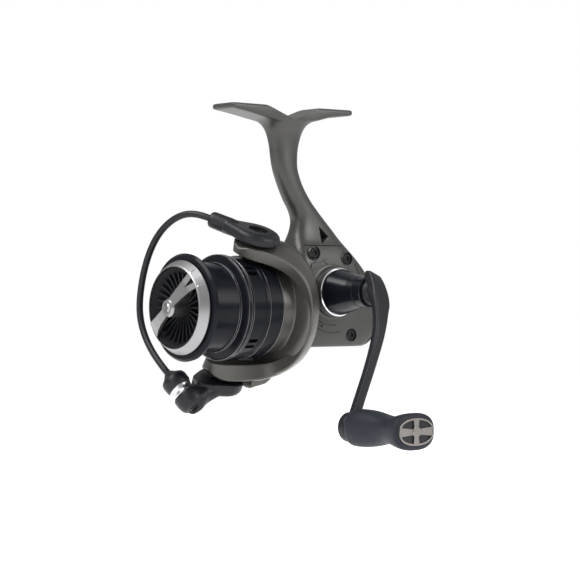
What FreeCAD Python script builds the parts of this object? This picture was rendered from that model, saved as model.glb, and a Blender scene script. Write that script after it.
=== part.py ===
import FreeCAD, Part
import math
import os
import Sketcher

# Open-faced fishing reel. +X points to the rod tip, +Y to the handle, +Z up to the rod.
# The origin is the centre of the foot's top face. All sizes are in millimetres.

V = FreeCAD.Vector
Place = FreeCAD.Placement
Turn = FreeCAD.Rotation

doc = FreeCAD.newDocument("reel")
sheet = doc.addObject("Spreadsheet::Sheet", "dims")

# name: (value, what it sets)
DIMS = {
    "foot_half": (31.0, "half length of the foot"),
    "foot_half_w": (7.0, "half width of the foot"),
    "foot_tip": (2.4, "foot thickness at its tips"),
    "stem_half_w": (4.5, "half thickness of the stem"),
    "spool_z": (-80.0, "height of the spool axis"),
    "crank_x": (-17.0, "position of the crank axis"),
    "crank_z": (-74.0, "height of the crank axis"),
    "lean": (22.0, "rest angle of the rotor arms, degrees"),
    "crank_turn": (23.0, "rest angle of the handle, degrees"),
    "house_half_w": (9.75, "half width of the gear housing"),
    "house_front": (-2.0, "front face of the gear housing"),
    "house_belly": (-96.2, "underside of the gear housing"),
    "house_back": (-47.5, "rearmost point of the gear housing"),
    "wall": (2.0, "housing wall"),
    "plate_seat": (7.85, "depth of the side plate's seat"),
    "gap": (0.3, "running gap between moving parts"),
    "slip": (0.03, "radial fit of a bush or bearing"),
    "nose_r": (19.0, "radius of the housing's front boss"),
    "nose_front": (2.4, "front face of the front boss"),
    "shaft_r": (1.5, "main shaft radius"),
    "sleeve_r": (2.45, "pinion sleeve radius"),
    "drive_r": (3.0, "drive shaft radius"),
    "bearing_r": (5.0, "bearing outer radius"),
    "tooth_mod": (0.6, "gear module"),
    "drive_off": (13.2, "drive gear centre to pinion mesh, along X"),
    "axis_off": (6.0, "crank axis above spool axis"),
    "osc_r": (7.5, "oscillation gear pitch radius"),
    "osc_pin_r": (4.8, "oscillation pinion pitch radius"),
    "rim_r": (25.4, "rotor rim radius"),
    "rim_back": (2.7, "rotor rim rear face"),
    "cup_r": (18.5, "rotor drum radius"),
    "cup_front": (19.8, "rotor drum front face"),
    "arm_r": (28.0, "rotor arm outer radius"),
    "arm_in_r": (22.4, "rotor arm inner radius"),
    "arm_tip": (31.2, "rotor arm front end"),
    "pivot_x": (23.0, "bail pivot position"),
    "bail_in": (28.3, "inner face of the bail lever and holder"),
    "bail_out": (34.0, "outer face of the bail lever and holder"),
    "wire_r": (1.35, "bail wire radius"),
    "roller_r": (4.0, "line roller radius"),
    "collar_r": (6.0, "roller collar radius"),
    "cap_r": (5.6, "roller cap radius"),
    "skirt_back": (15.8, "spool skirt rear edge"),
    "skirt_r": (19.9, "spool skirt radius"),
    "flange_r": (20.7, "spool rear flange radius"),
    "arbor_r": (17.6, "spool arbor radius"),
    "lip_r": (20.9, "spool lip radius"),
    "lip_front": (50.6, "spool lip front face"),
    "bowl_r": (15.0, "drag bowl radius"),
    "web_x": (41.5, "spool web front face"),
    "hub_back": (31.5, "spool hub rear face"),
    "ring_out": (18.25, "knob bezel outer radius"),
    "ring_in": (15.8, "knob bezel inner radius"),
    "ring_front": (54.9, "knob bezel front edge"),
    "knob_r": (14.6, "drag knob radius"),
    "ring_y": (12.3, "collar ring inner face"),
    "ring_w": (2.2, "collar ring width"),
    "cone_r": (9.5, "handle collar radius at the ring"),
    "neck_r": (6.3, "handle collar neck radius"),
    "hub_y": (33.1, "handle arm hub inner face"),
    "hub_r": (7.4, "handle arm hub radius"),
    "crank_r": (56.0, "handle arm radius"),
    "end_y": (44.2, "handle arm end boss inner face"),
    "grip_y": (48.5, "knob inner face"),
    "grip_end": (82.0, "knob outer face"),
    "head_r": (2.1, "cover screw head radius"),
}
for row, (alias, (size, note)) in enumerate(DIMS.items(), start=1):
    sheet.set("A%d" % row, note)
    sheet.set("B%d" % row, str(size))
    sheet.setAlias("B%d" % row, alias)
doc.recompute()

pieces = []


def update(*things):
    """Work out new features now, because the next ones read their shapes."""
    for thing in things:
        thing.recompute()


def terms(text):
    """Split a sum such as 'rim_r - 0.5*wall + 2' into (sign, [factors])."""
    found = []
    sign = 1.0
    for word in str(text).split():
        if word in ("+", "-"):
            sign = 1.0 if word == "+" else -1.0
            continue
        if word[0] == "-" and word[1:2].isalpha():
            sign = -sign
            word = word[1:]
        found.append((sign, word.split("*")))
        sign = 1.0
    return found


def value(text):
    """Number a sum of sheet names and numbers comes to."""
    total = 0.0
    for sign, factors in terms(text):
        for factor in factors:
            sign *= DIMS[factor][0] if factor in DIMS else float(factor)
        total += sign
    return total


def formula(text):
    """The same sum as an expression that follows the sheet."""
    words = []
    for sign, factors in terms(text):
        named = ["dims." + f if f in DIMS else f for f in factors]
        words.append(("+" if sign > 0 else "-") + " * ".join("(%s)" % n for n in named))
    return " ".join(words).lstrip("+")


def bind(thing, prop, text):
    """Tie a property or constraint to the sheet if the sum names any size."""
    if any(f in DIMS for _, factors in terms(text) for f in factors):
        thing.setExpression(prop, formula(text))


def body(label, x="0", y="0", z="0", turn=None, tip=False):
    """A new PartDesign body at (x, y, z), turned about its own origin."""
    made = doc.addObject("PartDesign::Body", label)
    made.Label = label
    made.Placement = Place(V(value(x), value(y), value(z)), turn or Turn())
    for axis, text in (("x", x), ("y", y), ("z", z)):
        bind(made, "Placement.Base." + axis, text)
    if not tip:
        pieces.append(made)
    return made


def origin_part(owner, role):
    return [o for o in owner.Origin.OriginFeatures if o.Role == role][0]


def new_sketch(owner, plane, offset="0", shift=None):
    """A sketch on an origin plane, moved along the plane's normal."""
    made = owner.newObject("Sketcher::SketchObject", "Sketch")
    made.AttachmentSupport = [(origin_part(owner, plane), "")]
    made.MapMode = "FlatFace"
    made.AttachmentOffset = shift or Place(V(0, 0, value(offset)), Turn())
    if not shift:
        bind(made, "AttachmentOffset.Base.z", offset)
    return made


def fix(made, geo, point, x, y):
    """Hold one sketch point at (x, y) from the sketch origin."""
    for kind, text, axis in (("DistanceX", x, -2), ("DistanceY", y, -1)):
        size = value(text)
        if abs(size) < 1e-9:
            made.addConstraint(Sketcher.Constraint("PointOnObject", geo, point, axis))
            continue
        index = made.addConstraint(Sketcher.Constraint(kind, -1, 1, geo, point, size))
        bind(made, "Constraints[%d]" % index, text)


def polygon(made, points):
    first = made.GeometryCount
    corners = [V(value(x), value(y), 0) for x, y in points]
    count = len(corners)
    for i in range(count):
        made.addGeometry(Part.LineSegment(corners[i], corners[(i + 1) % count]))
    for i in range(count):
        made.addConstraint(Sketcher.Constraint("Coincident", first + i, 2, first + (i + 1) % count, 1))
    for i, (x, y) in enumerate(points):
        fix(made, first + i, 1, x, y)


def circle(made, x, y, r):
    geo = made.addGeometry(Part.Circle(V(value(x), value(y), 0), V(0, 0, 1), value(r)))
    fix(made, geo, 3, x, y)
    index = made.addConstraint(Sketcher.Constraint("Radius", geo, value(r)))
    bind(made, "Constraints[%d]" % index, r)


def draw(made, shapes):
    """Each shape is a list of corners, or a circle as (x, y, r)."""
    for shape in shapes:
        if isinstance(shape, list):
            polygon(made, shape)
        else:
            circle(made, *shape)


def slab(owner, plane, low, high, *shapes, cut=False):
    """Solid, or a cut, between two levels along the plane's own axis."""
    sign = -1 if plane == "XZ_Plane" else 1
    start = low if (sign > 0) != cut else high
    offset = start if sign > 0 else minus(start)
    made = new_sketch(owner, plane, offset)
    draw(made, shapes)
    feature = owner.newObject("PartDesign::" + ("Pocket" if cut else "Pad"), "Cut" if cut else "Pad")
    feature.Profile = made
    deep = "%s %s" % (high, minus(low))
    feature.Length = value(deep)
    bind(feature, "Length", deep)
    update(made, feature)
    return feature


def minus(text):
    """The negative of a sum, as text."""
    return " ".join(("-" if sign > 0 else "+") + " " + "*".join(f) for sign, f in terms(text))


def spin(owner, points, plane="XZ_Plane", cut=False, angle=360, shift=None):
    """Turn an outline about the sketch's horizontal axis."""
    made = new_sketch(owner, plane, shift=shift)
    polygon(made, points)
    kind = "Groove" if cut else "Revolution"
    feature = owner.newObject("PartDesign::" + kind, kind)
    feature.Profile = made
    feature.ReferenceAxis = (made, ["H_Axis"])
    feature.Angle = angle
    feature.Midplane = angle < 360
    update(made, feature)
    return feature


def around(owner, features, count, axis):
    """Repeat features evenly about one of the body's own axes."""
    made = owner.newObject("PartDesign::PolarPattern", "Pattern")
    made.Originals = features
    made.Axis = (origin_part(owner, axis), [""])
    made.Angle = 360
    made.Occurrences = count
    owner.Tip = made
    update(made)
    return made


def round_edges(owner, radius, wanted, kind="Fillet"):
    """Round or chamfer the tip's edges for which wanted(edge) is true."""
    base = owner.Tip
    names = ["Edge%d" % (i + 1) for i, e in enumerate(base.Shape.Edges) if wanted(e)]
    made = owner.newObject("PartDesign::" + kind, kind)
    made.Base = (base, names)
    if kind == "Fillet":
        made.Radius = radius
    else:
        made.Size = radius
    update(made)
    return made


def at_level(axis, level, tolerance=0.01):
    """Edges lying wholly at one level along an axis of the body."""
    def test(edge):
        low = (edge.BoundBox.XMin, edge.BoundBox.YMin, edge.BoundBox.ZMin)[axis]
        high = (edge.BoundBox.XMax, edge.BoundBox.YMax, edge.BoundBox.ZMax)[axis]
        return abs(low - level) < tolerance and abs(high - level) < tolerance
    return test


def foot_corner(edge):
    """The four upright edges at the ends of the foot."""
    box = edge.BoundBox
    upright = box.XLength < 0.01 and box.YLength < 0.01
    return upright and abs(box.XMin) > DIMS["foot_half"][0] - 0.01 and box.ZMin > -4


def rod(label, frame, start, along, radius, length, radius2=None):
    """A cylinder or cone primitive standing on start, in the given frame."""
    tapered = radius2 is not None
    made = doc.addObject("Part::Cone" if tapered else "Part::Cylinder", label)
    if tapered:
        made.Radius1 = value(radius)
        bind(made, "Radius1", radius)
        made.Radius2 = value(radius2)
        bind(made, "Radius2", radius2)
    else:
        made.Radius = value(radius)
        bind(made, "Radius", radius)
    made.Height = value(length)
    bind(made, "Height", length)
    made.Placement = frame.multiply(Place(V(*start), Turn(V(0, 0, 1), V(*along))))
    return made


def joined(label, parts):
    made = doc.addObject("Part::MultiFuse", label)
    made.Shapes = parts
    made.Refine = True
    doc.recompute()
    return made


def less(label, base, tool):
    made = doc.addObject("Part::Cut", label)
    made.Base = base
    made.Tool = tool
    doc.recompute()
    return made


def named(made, label):
    """Finish a boolean as one of the reel's pieces."""
    made.Label = label
    pieces.append(made)
    return made


def shell(*points):
    return [(str(x), str(y)) for x, y in points]


def hull(x1, y1, r1, x2, y2, r2, steps=10):
    """Outline around two circles, as corners."""
    gap = math.hypot(x2 - x1, y2 - y1)
    heading = math.atan2(y2 - y1, x2 - x1)
    spread = math.acos((r1 - r2) / gap)
    corners = []
    for i in range(steps + 1):
        a = heading - spread + 2 * spread * i / steps
        corners.append((x2 + r2 * math.cos(a), y2 + r2 * math.sin(a)))
    for i in range(steps + 1):
        a = heading + spread + (2 * math.pi - 2 * spread) * i / steps
        corners.append((x1 + r1 * math.cos(a), y1 + r1 * math.sin(a)))
    return [("%.4f" % x, "%.4f" % y) for x, y in corners]


LEAN = Turn(V(1, 0, 0), -DIMS["lean"][0])
CRANK = Turn(V(0, 1, 0), -DIMS["crank_turn"][0])
ROTOR = Place(V(0, 0, DIMS["spool_z"][0]), LEAN)
SPOOL_AT = {"z": "spool_z"}
CRANK_AT = {"x": "crank_x", "z": "crank_z"}

# ---------------------------------------------------------------- body frame
frame = body("body_frame")
slab(frame, "XZ_Plane", "-stem_half_w", "stem_half_w", [
    ("9.2", "-3.5"), ("7.7", "-12"), ("6.4", "-20"), ("5.4", "-25"), ("2.8", "-31.5"),
    ("-0.2", "-37"), ("-3.0", "-41"), ("-4.6", "-45"), ("-4.4", "-49"), ("-3.6", "-57.5"),
    ("-30", "-57.5"), ("-20.2", "-45"), ("-12.9", "-37"), ("-8.8", "-31"),
    ("-6.6", "-25"), ("-6.6", "-14"), ("-8.8", "-8"), ("-11", "-3.5")])
round_edges(frame, 1.8, lambda e: at_level(1, 4.5)(e) or at_level(1, -4.5)(e), kind="Chamfer")
slab(frame, "XZ_Plane", "-house_half_w", "house_half_w", [
    ("house_front - 1.4", "-53.5"), ("house_front - 0.4", "-57.5"), ("house_front", "-62"),
    ("house_front", "house_belly"), ("-38.6", "house_belly"), ("-43.6", "-93.2"),
    ("-46.7", "-87"), ("house_back", "-81.5"), ("-44.6", "-75.6"), ("-40.2", "-70"),
    ("-36.2", "-65"), ("-31.4", "-59.6"), ("-26.6", "-53.5")])
round_edges(frame, 2.2, lambda e: at_level(1, 9.75)(e) or at_level(1, -9.75)(e))
slab(frame, "XZ_Plane", "-foot_half_w", "foot_half_w", [
    ("foot_half", "0"), ("14.6", "0"), ("-0.3", "-5.3"), ("-14.6", "0"), ("-foot_half", "0"),
    ("-foot_half", "-foot_tip"), ("-18.4", "-4"), ("-12.4", "-5.6"), ("-9.6", "-8.4"),
    ("-7.4", "-12.5"), ("7.4", "-12.5"), ("8.6", "-9.2"), ("11.6", "-6.1"), ("20.5", "-4.1"),
    ("foot_half", "-foot_tip")])
round_edges(frame, 1.6, foot_corner)
for side in (1, -1):
    slab(frame, "XY_Plane", "-14", "-6.2", [
        ("-13", str(side * 7.6)), ("12.6", str(side * 7.6)), ("10.6", str(side * 4.6)),
        ("-11", str(side * 4.6))], cut=True)
frame_nose = new_sketch(frame, "XZ_Plane")
polygon(frame_nose, [("-4", "spool_z"), ("nose_front", "spool_z"), ("nose_front", "spool_z + nose_r - 1"),
                     ("nose_front - 1", "spool_z + nose_r"), ("-4", "spool_z + nose_r")])
frame_nose_top = frame.newObject("PartDesign::Revolution", "Nose")
frame_nose_top.Profile = frame_nose
frame_nose.addGeometry(Part.LineSegment(V(-4, -80, 0), V(2, -80, 0)), True)
fix(frame_nose, 5, 1, "-4", "spool_z")
fix(frame_nose, 5, 2, "2", "spool_z")
frame_nose_top.ReferenceAxis = (frame_nose, ["Axis0"])
frame_nose_top.Angle = 360
doc.recompute()
slab(frame, "XZ_Plane", "-house_half_w - 2.2", "-house_half_w + 1", ("crank_x", "crank_z", "8.2"))
slab(frame, "XZ_Plane", "plate_seat", "house_half_w + 3", [
    ("-4.5", "-56.5"), ("-4.5", "-93.5"), ("-37.7", "-93.5"), ("-41.7", "-91.1"), ("-44.5", "-85.3"),
    ("-45", "-81.6"), ("-42.5", "-76.2"), ("-38.5", "-71"), ("-34.4", "-65.9"), ("-26.9", "-56.5")],
    cut=True)
slab(frame, "XZ_Plane", "-house_half_w + wall", "plate_seat + 0.2", [
    ("-5.6", "-57.8"), ("-5.6", "-92.2"), ("-37", "-92.2"), ("-40.4", "-90.2"), ("-43", "-85"),
    ("-43.4", "-81.8"), ("-41.2", "-77"), ("-37.3", "-71.9"), ("-33.2", "-66.8"), ("-26.2", "-57.8")],
    cut=True)
slab(frame, "XZ_Plane", "1.8", "plate_seat", ("crank_x", "crank_z", "16.4"), cut=True)
# Room in the floor for the crosshead slider's stroke and for the oscillation gear.
slab(frame, "XZ_Plane", "-5.4", "2.5", [("-26.4", "-91.8"), ("-8.2", "-91.8"), ("-8.2", "-93.8"),
                                        ("-26.4", "-93.8")], cut=True)
slab(frame, "XZ_Plane", "-house_half_w + wall", "-5.2", ("crank_x", "crank_z - osc_r - osc_pin_r", "8.5"),
     cut=True)
# Posts for the cover screws, a web for the pinion bush, and a post for the guide rod.
slab(frame, "XZ_Plane", "-house_half_w + 1", "plate_seat", ("-6.9", "-59.1", "2.0"))
slab(frame, "XZ_Plane", "6.4", "plate_seat", [
    ("-27.2", "-57"), ("-21.6", "-57"), ("-21.6", "-60.9"), ("-23", "-62.4"), ("-25.8", "-62.4"),
    ("-27.2", "-60.9")])
slab(frame, "XZ_Plane", "3.1", "plate_seat", [
    ("-28.7", "-93"), ("-24.3", "-93"), ("-24.3", "-91.4"), ("-25.4", "-90"), ("-27.6", "-90"),
    ("-28.7", "-91.4")])
slab(frame, "YZ_Plane", "-7.9", "-5.4", [
    ("-house_half_w + 1", "-93"), ("1.7", "-93"), ("1.7", "-80"), ("1.7", "-76.6"),
    ("-house_half_w + 1", "-76.6")])
slab(frame, "YZ_Plane", "-7.9", "-6.1", ("0", "spool_z", "3.15"))
slab(frame, "YZ_Plane", "-33.4", "-31.2", [
    ("-house_half_w + 1", "-93"), ("2.4", "-93"), ("2.4", "-88.6"), ("-house_half_w + 1", "-88.6")])
slab(frame, "XZ_Plane", "2.2", "plate_seat", ("crank_x", "crank_z", "16.3"), cut=True)
slab(frame, "YZ_Plane", "-33.5", "-5", ("0", "-91", "1"), cut=True)
slab(frame, "YZ_Plane", "-8", "-6", ("0", "spool_z", "2.53"), cut=True)
slab(frame, "YZ_Plane", "-6.05", "0", ("0", "spool_z", "3.75"), cut=True)
slab(frame, "YZ_Plane", "-0.1", "nose_front", ("0", "spool_z", "bearing_r + slip"), cut=True)
slab(frame, "XZ_Plane", "-house_half_w - 1.6", "-house_half_w + 3",
     ("crank_x", "crank_z", "bearing_r + slip"), cut=True)
for x, z, deep in (("-6.9", "-59.1", "4.4"), ("-24.4", "-60.5", "6.9"), ("-26.5", "-91.1", "4.4")):
    slab(frame, "XZ_Plane", deep, "plate_seat + 0.1", (x, z, "0.95"), cut=True)
for turn in (60, 180, 300):
    y = 7.2 * math.cos(math.radians(turn))
    z = -80 + 7.2 * math.sin(math.radians(turn))
    slab(frame, "YZ_Plane", "nose_front - 2.4", "nose_front", ("%.4f" % y, "%.4f" % z, "0.75"), cut=True)
# Seat for the rear cover and the three-sided pocket at the foot of the stem.
slab(frame, "XZ_Plane", "-8.1", "8.1", [
    ("-49", "-79.9"), ("-45.9", "-79.9"), ("-45.2", "-86.3"), ("-42.4", "-91.9"), ("-39", "-94.7"),
    ("-38.2", "-98"), ("-49", "-98")], cut=True)
slab(frame, "YZ_Plane", "-46", "-42.5", ("0", "-84", "0.9"), cut=True)
slab(frame, "XZ_Plane", "3.4", "5.5", [("-10.4", "-47.2"), ("-16.4", "-47.2"), ("-15.6", "-50.6"),
                                       ("-11.6", "-52.2")], cut=True)

rear_cover = body("rear_cover")
slab(rear_cover, "XZ_Plane", "-8", "8", [
    ("-47.3", "-80"), ("-46", "-80"), ("-45.3", "-86.4"), ("-42.5", "-92"), ("-39.1", "-94.8"),
    ("-39", "-96.1"), ("-43.5", "-93.2"), ("-46.7", "-86.9")])
slab(rear_cover, "YZ_Plane", "-48", "-44", ("0", "-84", "0.95"), cut=True)

rear_screw = body("rear_cover_screw", x="-43", z="-84", turn=Turn(V(0, 0, 1), 180))
spin(rear_screw, shell((0, 0), (0, 0.85), (4.15, 0.85), (4.15, 1.7), (4.7, 1.5), (4.95, 0.9), (4.95, 0)))
slab(rear_screw, "YZ_Plane", "4.5", "5.2", shell((-1.2, -0.2), (1.2, -0.2), (1.2, 0.2), (-1.2, 0.2)),
     cut=True)

# ---------------------------------------------------------------- side plate and its screws
plate = body("side_plate")
slab(plate, "XZ_Plane", "plate_seat + 0.02", "house_half_w", [
    ("-4.6", "-56.6"), ("-4.6", "-93.4"), ("-37.6", "-93.4"), ("-41.6", "-91"), ("-44.4", "-85.3"),
    ("-44.9", "-81.6"), ("-42.4", "-76.2"), ("-38.4", "-71"), ("-34.3", "-65.9"), ("-26.8", "-56.6")])
round_edges(plate, 0.5, at_level(1, 9.75), kind="Chamfer")
spin(plate, [
    ("plate_seat + 0.1", "0"), ("house_half_w + 2.2", "0"), ("house_half_w + 2.2", "9.3"),
    ("house_half_w + 1.9", "9.6"), ("house_half_w", "10.4"), ("plate_seat + 0.1", "10.4")],
    plane="YZ_Plane", shift=Place(V(0, -74, -17), Turn()))
slab(plate, "XZ_Plane", "plate_seat - 1", "ring_y - 0.8", ("crank_x", "crank_z", "bearing_r + slip"),
     cut=True)
slab(plate, "XZ_Plane", "plate_seat", "ring_y", ("crank_x", "crank_z", "3.6"), cut=True)
for x, z in (("-6.9", "-59.1"), ("-24.4", "-60.5"), ("-26.5", "-91.1")):
    slab(plate, "XZ_Plane", "plate_seat - 1", "house_half_w + 1", (x, z, "1.1"), cut=True)
    slab(plate, "XZ_Plane", "house_half_w - 0.9", "house_half_w + 1", (x, z, "head_r + 0.15"), cut=True)


def cover_screw(x, z, reach):
    """Pan head screw with a cross slot, head outwards along +Y."""
    made = body("screw", x=x, z=z, tip=True)
    spin(made, [("house_half_w - 0.85", "0"), (reach, "0"), (reach, "0.9"), ("house_half_w - 0.85", "0.9"),
                ("house_half_w - 0.85", "head_r"), ("house_half_w - 0.15", "head_r - 0.1"),
                ("house_half_w + 0.25", "head_r - 0.9"), ("house_half_w + 0.3", "0")][::-1],
         plane="YZ_Plane")
    slab(made, "XZ_Plane", "house_half_w - 0.35", "house_half_w + 0.6",
         shell((-1.3, -0.25), (-0.25, -0.25), (-0.25, -1.3), (0.25, -1.3), (0.25, -0.25), (1.3, -0.25),
               (1.3, 0.25), (0.25, 0.25), (0.25, 1.3), (-0.25, 1.3), (-0.25, 0.25), (-1.3, 0.25)),
         cut=True)
    return made


named(joined("cover_screws", [cover_screw("-6.9", "-59.1", "4.6"), cover_screw("-24.4", "-60.5", "7.1"),
                              cover_screw("-26.5", "-91.1", "4.6")]), "side_plate_screws")


def bearing(label, inner, outer, low, high, plane, where):
    """A shielded ball bearing: a ring with a shallow groove on both faces."""
    made = body(label, **where)
    middle = "0.5*%s + 0.5*%s" % (inner, outer)
    points = [(low, inner), (low, middle + " - 0.5"), (low + " + 0.2", middle + " - 0.4"),
              (low + " + 0.2", middle + " + 0.4"), (low, middle + " + 0.5"), (low, outer),
              (high, outer), (high, middle + " + 0.5"), (high + " - 0.2", middle + " + 0.4"),
              (high + " - 0.2", middle + " - 0.4"), (high, middle + " - 0.5"), (high, inner)]
    spin(made, points, plane=plane)
    return made


bearing("drive_bearing_handle_side", "3.03", "bearing_r", "8.3", "11.3", "YZ_Plane", CRANK_AT)
bearing("drive_bearing_far_side", "3.03", "bearing_r", "-11.2", "-8.0", "YZ_Plane", CRANK_AT)
bearing("pinion_bearing", "2.48", "bearing_r", "0.05", "2.3", "XZ_Plane", SPOOL_AT)

bush = body("pinion_bush", **SPOOL_AT)
spin(bush, shell((-7.8, 1.98), (-7.8, 2.5), (-6.15, 2.5), (-6.15, 1.98)))

shaft_cap = body("shaft_cap", **CRANK_AT)
spin(shaft_cap, shell((-12.05, 0), (-12.05, 8.0), (-13.0, 7.9), (-13.9, 6.6), (-13.9, 3.2), (-13.3, 2.6),
                      (-13.3, 0)), plane="YZ_Plane")
coin_slot = slab(shaft_cap, "XZ_Plane", "-14.5", "-13.4", shell((-0.6, 3.4), (0.6, 3.4), (0.6, 7.4),
                                                                 (-0.6, 7.4)), cut=True)
around(shaft_cap, [coin_slot], 6, "Y_Axis")

clutch = body("anti_reverse_clutch", **SPOOL_AT)
spin(clutch, shell((2.45, 3.0), (2.45, 9.0), (7.6, 9.0), (7.6, 7.0), (7.0, 6.8), (7.0, 4.6), (7.6, 4.4),
                   (7.6, 3.0)))
for turn in (60, 180, 300):
    y = 7.2 * math.cos(math.radians(turn))
    z = 7.2 * math.sin(math.radians(turn))
    slab(clutch, "YZ_Plane", "2", "8", ("%.4f" % y, "%.4f" % z, "0.85"), cut=True)

retainer = body("clutch_retainer", **SPOOL_AT)
slab(retainer, "YZ_Plane", "7.65", "8.45", ("0", "0", "9.6"), ("0", "0", "3.4"))
for turn in (60, 180, 300):
    y = 7.2 * math.cos(math.radians(turn))
    z = 7.2 * math.sin(math.radians(turn))
    slab(retainer, "YZ_Plane", "7", "9", ("%.4f" % y, "%.4f" % z, "0.85"), cut=True)
clutch_screws = []
for turn in (60, 180, 300):
    y = 7.2 * math.cos(math.radians(turn))
    z = -80 + 7.2 * math.sin(math.radians(turn))
    made = body("screw", y="%.4f" % y, z="%.4f" % z, tip=True)
    spin(made, shell((0.3, 0), (0.3, 0.7), (8.5, 0.7), (8.5, 1.4), (9.2, 1.2), (9.2, 0)))
    clutch_screws.append(made)
named(joined("clutch_fixings", clutch_screws), "clutch_screws")

guide = body("guide_rod", z="-91")
spin(guide, shell((-33.2, 0), (-33.2, 0.97), (-5.5, 0.97), (-5.5, 0)))

# ---------------------------------------------------------------- handle side drive train
drive_shaft = body("drive_shaft", **CRANK_AT)
spin(drive_shaft, [("-11", "0"), ("-11", "drive_r - 0.3"), ("-10.7", "drive_r"), ("37.4", "drive_r"),
                   ("37.8", "drive_r - 0.4"), ("37.8", "0")], plane="YZ_Plane")

gear = body("drive_gear", **CRANK_AT)
spin(gear, shell((3.75, 3.03), (3.75, 15.8), (5.6, 15.8), (5.6, 14.4), (4.9, 13.8), (4.9, 6.4), (6.6, 5.6),
                 (6.6, 3.03)), plane="YZ_Plane")
gear_tooth = slab(gear, "YZ_Plane", "drive_off - 1.4", "drive_off + 1.4", [
    ("3.85", "-axis_off - 0.5"), ("2.7", "-axis_off - 0.3"), ("2.35", "-axis_off - 0.2"),
    ("2.35", "-axis_off + 0.2"), ("2.7", "-axis_off + 0.3"), ("3.85", "-axis_off + 0.5")])
around(gear, [gear_tooth], 44, "Y_Axis")
lightening = slab(gear, "XZ_Plane", "3", "6", ("9.8", "0", "1.9"), cut=True)
around(gear, [lightening], 6, "Y_Axis")


def spur(label, where, pitch_r, count, low, high, bore, phase):
    """Spur gear about the Y axis with straight-sided teeth; phase turns it in degrees."""
    made = body(label, turn=Turn(V(0, 1, 0), phase), **where)
    slab(made, "XZ_Plane", low, high, ("0", "0", "%s - 0.72" % pitch_r),
               ("0", "0", bore))
    tooth = slab(made, "XZ_Plane", low, high, [
        ("-0.55", "%s - 1" % pitch_r), ("-0.36", pitch_r), ("-0.18", "%s + 0.5" % pitch_r),
        ("0.18", "%s + 0.5" % pitch_r), ("0.36", pitch_r), ("0.55", "%s - 1" % pitch_r)])
    around(made, [tooth], count, "Y_Axis")
    return made


spur("oscillation_pinion", CRANK_AT, "osc_pin_r", 16, "-7.5", "-5.8", "3.03", 0)
osc = spur("oscillation_gear", {"x": "crank_x", "z": "crank_z - osc_r - osc_pin_r"}, "osc_r", 25,
           "-7.4", "-5.9", "1.55", 7.2)
slab(osc, "XZ_Plane", "-6", "-5.2", ("0", "-5.6", "1.2"))
osc_axle = body("oscillation_axle", x="crank_x", z="crank_z - osc_r - osc_pin_r")
spin(osc_axle, shell((-7.7, 0), (-7.7, 1.5), (-5.6, 1.5), (-5.6, 0)), plane="YZ_Plane")

pinion = body("pinion_gear", turn=Turn(V(1, 0, 0), 20), **SPOOL_AT)
spin(pinion, [("-7.9", "shaft_r + 0.05"), ("-7.9", "1.95"), ("-5.5", "1.95"), ("-5.5", "2"), ("-2.1", "2"),
              ("-2.1", "sleeve_r"), ("22.6", "sleeve_r"), ("22.6", "shaft_r + 0.05")])
pinion_tooth = slab(pinion, "YZ_Plane", "-5.5", "-2.2", shell(
    (1.8, -0.6), (2.3, -0.52), (2.7, -0.4), (3.0, -0.3), (3.2, -0.16), (3.2, 0.16), (3.0, 0.3),
    (2.7, 0.4), (2.3, 0.52), (1.8, 0.6)))
around(pinion, [pinion_tooth], 9, "X_Axis")

clutch_sleeve = body("clutch_sleeve", **SPOOL_AT)
spin(clutch_sleeve, [("2.6", "sleeve_r + slip"), ("2.6", "2.92"), ("17.4", "2.92"),
                     ("17.4", "sleeve_r + slip")])

# ---------------------------------------------------------------- rotor and its arms
rotor = body("rotor", turn=LEAN, **SPOOL_AT)
spin(rotor, [("rim_back", "22.6"), ("rim_back", "rim_r"), ("rim_back + 2.6", "rim_r + 1.2"),
             ("rim_back + 6", "arm_r"), ("27", "arm_r"), ("29.2", "arm_r - 0.6"),
             ("30.6", "arm_r - 2"), ("arm_tip", "arm_r - 3.6"), ("arm_tip - 0.2", "arm_in_r + 0.2"),
             ("8", "arm_in_r"), ("5.6", "22.6")])
half_width = [(7.4, 27.5), (8.4, 24.6), (10, 21), (12.5, 17.4), (16, 13.8), (20, 11), (24, 9),
              (27.2, 7.3), (29.8, 4.7), (31, 2.2), (31.4, 0)]
trim = shell((4.4, 34), (6.4, 29))
trim += shell(*half_width)
trim += shell(*[(x, -w) for x, w in reversed(half_width[:-1])])
trim += shell((6.4, -29), (4.4, -34), (44, -34), (44, 34))
slab(rotor, "XY_Plane", "-40", "40", trim, cut=True)
spin(rotor, [("rim_back + 1", "22.5"), ("rim_back + 1", "rim_r - 0.1"), ("rim_back + 2.2", "rim_r - 0.5"),
             ("rim_back + 4", "rim_r - 2.2"), ("8.6", "cup_r + 1.4"), ("9.3", "cup_r"),
             ("cup_front - 1.2", "cup_r"), ("cup_front", "cup_r - 1.2"), ("cup_front", "sleeve_r + slip"),
             ("cup_front - 2.2", "sleeve_r + slip"), ("cup_front - 2.2", "cup_r - 1.9"),
             ("8.8", "cup_r - 1.6"), ("6.2", "22.5")])
slab(rotor, "XY_Plane", "-35", "35", ("pivot_x", "0", "1.85"), cut=True)
slab(rotor, "XY_Plane", "-35", "-26.8", shell((8.6, -1.9), (13.6, -1.9), (13.6, 1.9), (8.6, 1.9)), cut=True)
for side in (1, -1):
    slab(rotor, "YZ_Plane", "17", "20.5", ("%d" % (side * 10.5), "0", "3.1"), cut=True)

nut = body("rotor_nut", **SPOOL_AT)
hexagon = [("%.4f" % (4.6 * math.cos(math.radians(60 * i))), "%.4f" % (4.6 * math.sin(math.radians(60 * i))))
           for i in range(6)]
slab(nut, "YZ_Plane", "cup_front + 0.05", "cup_front + 3.4", hexagon, ("0", "0", "sleeve_r + slip"))
round_edges(nut, 0.4, at_level(0, 23.2), kind="Chamfer")

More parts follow.
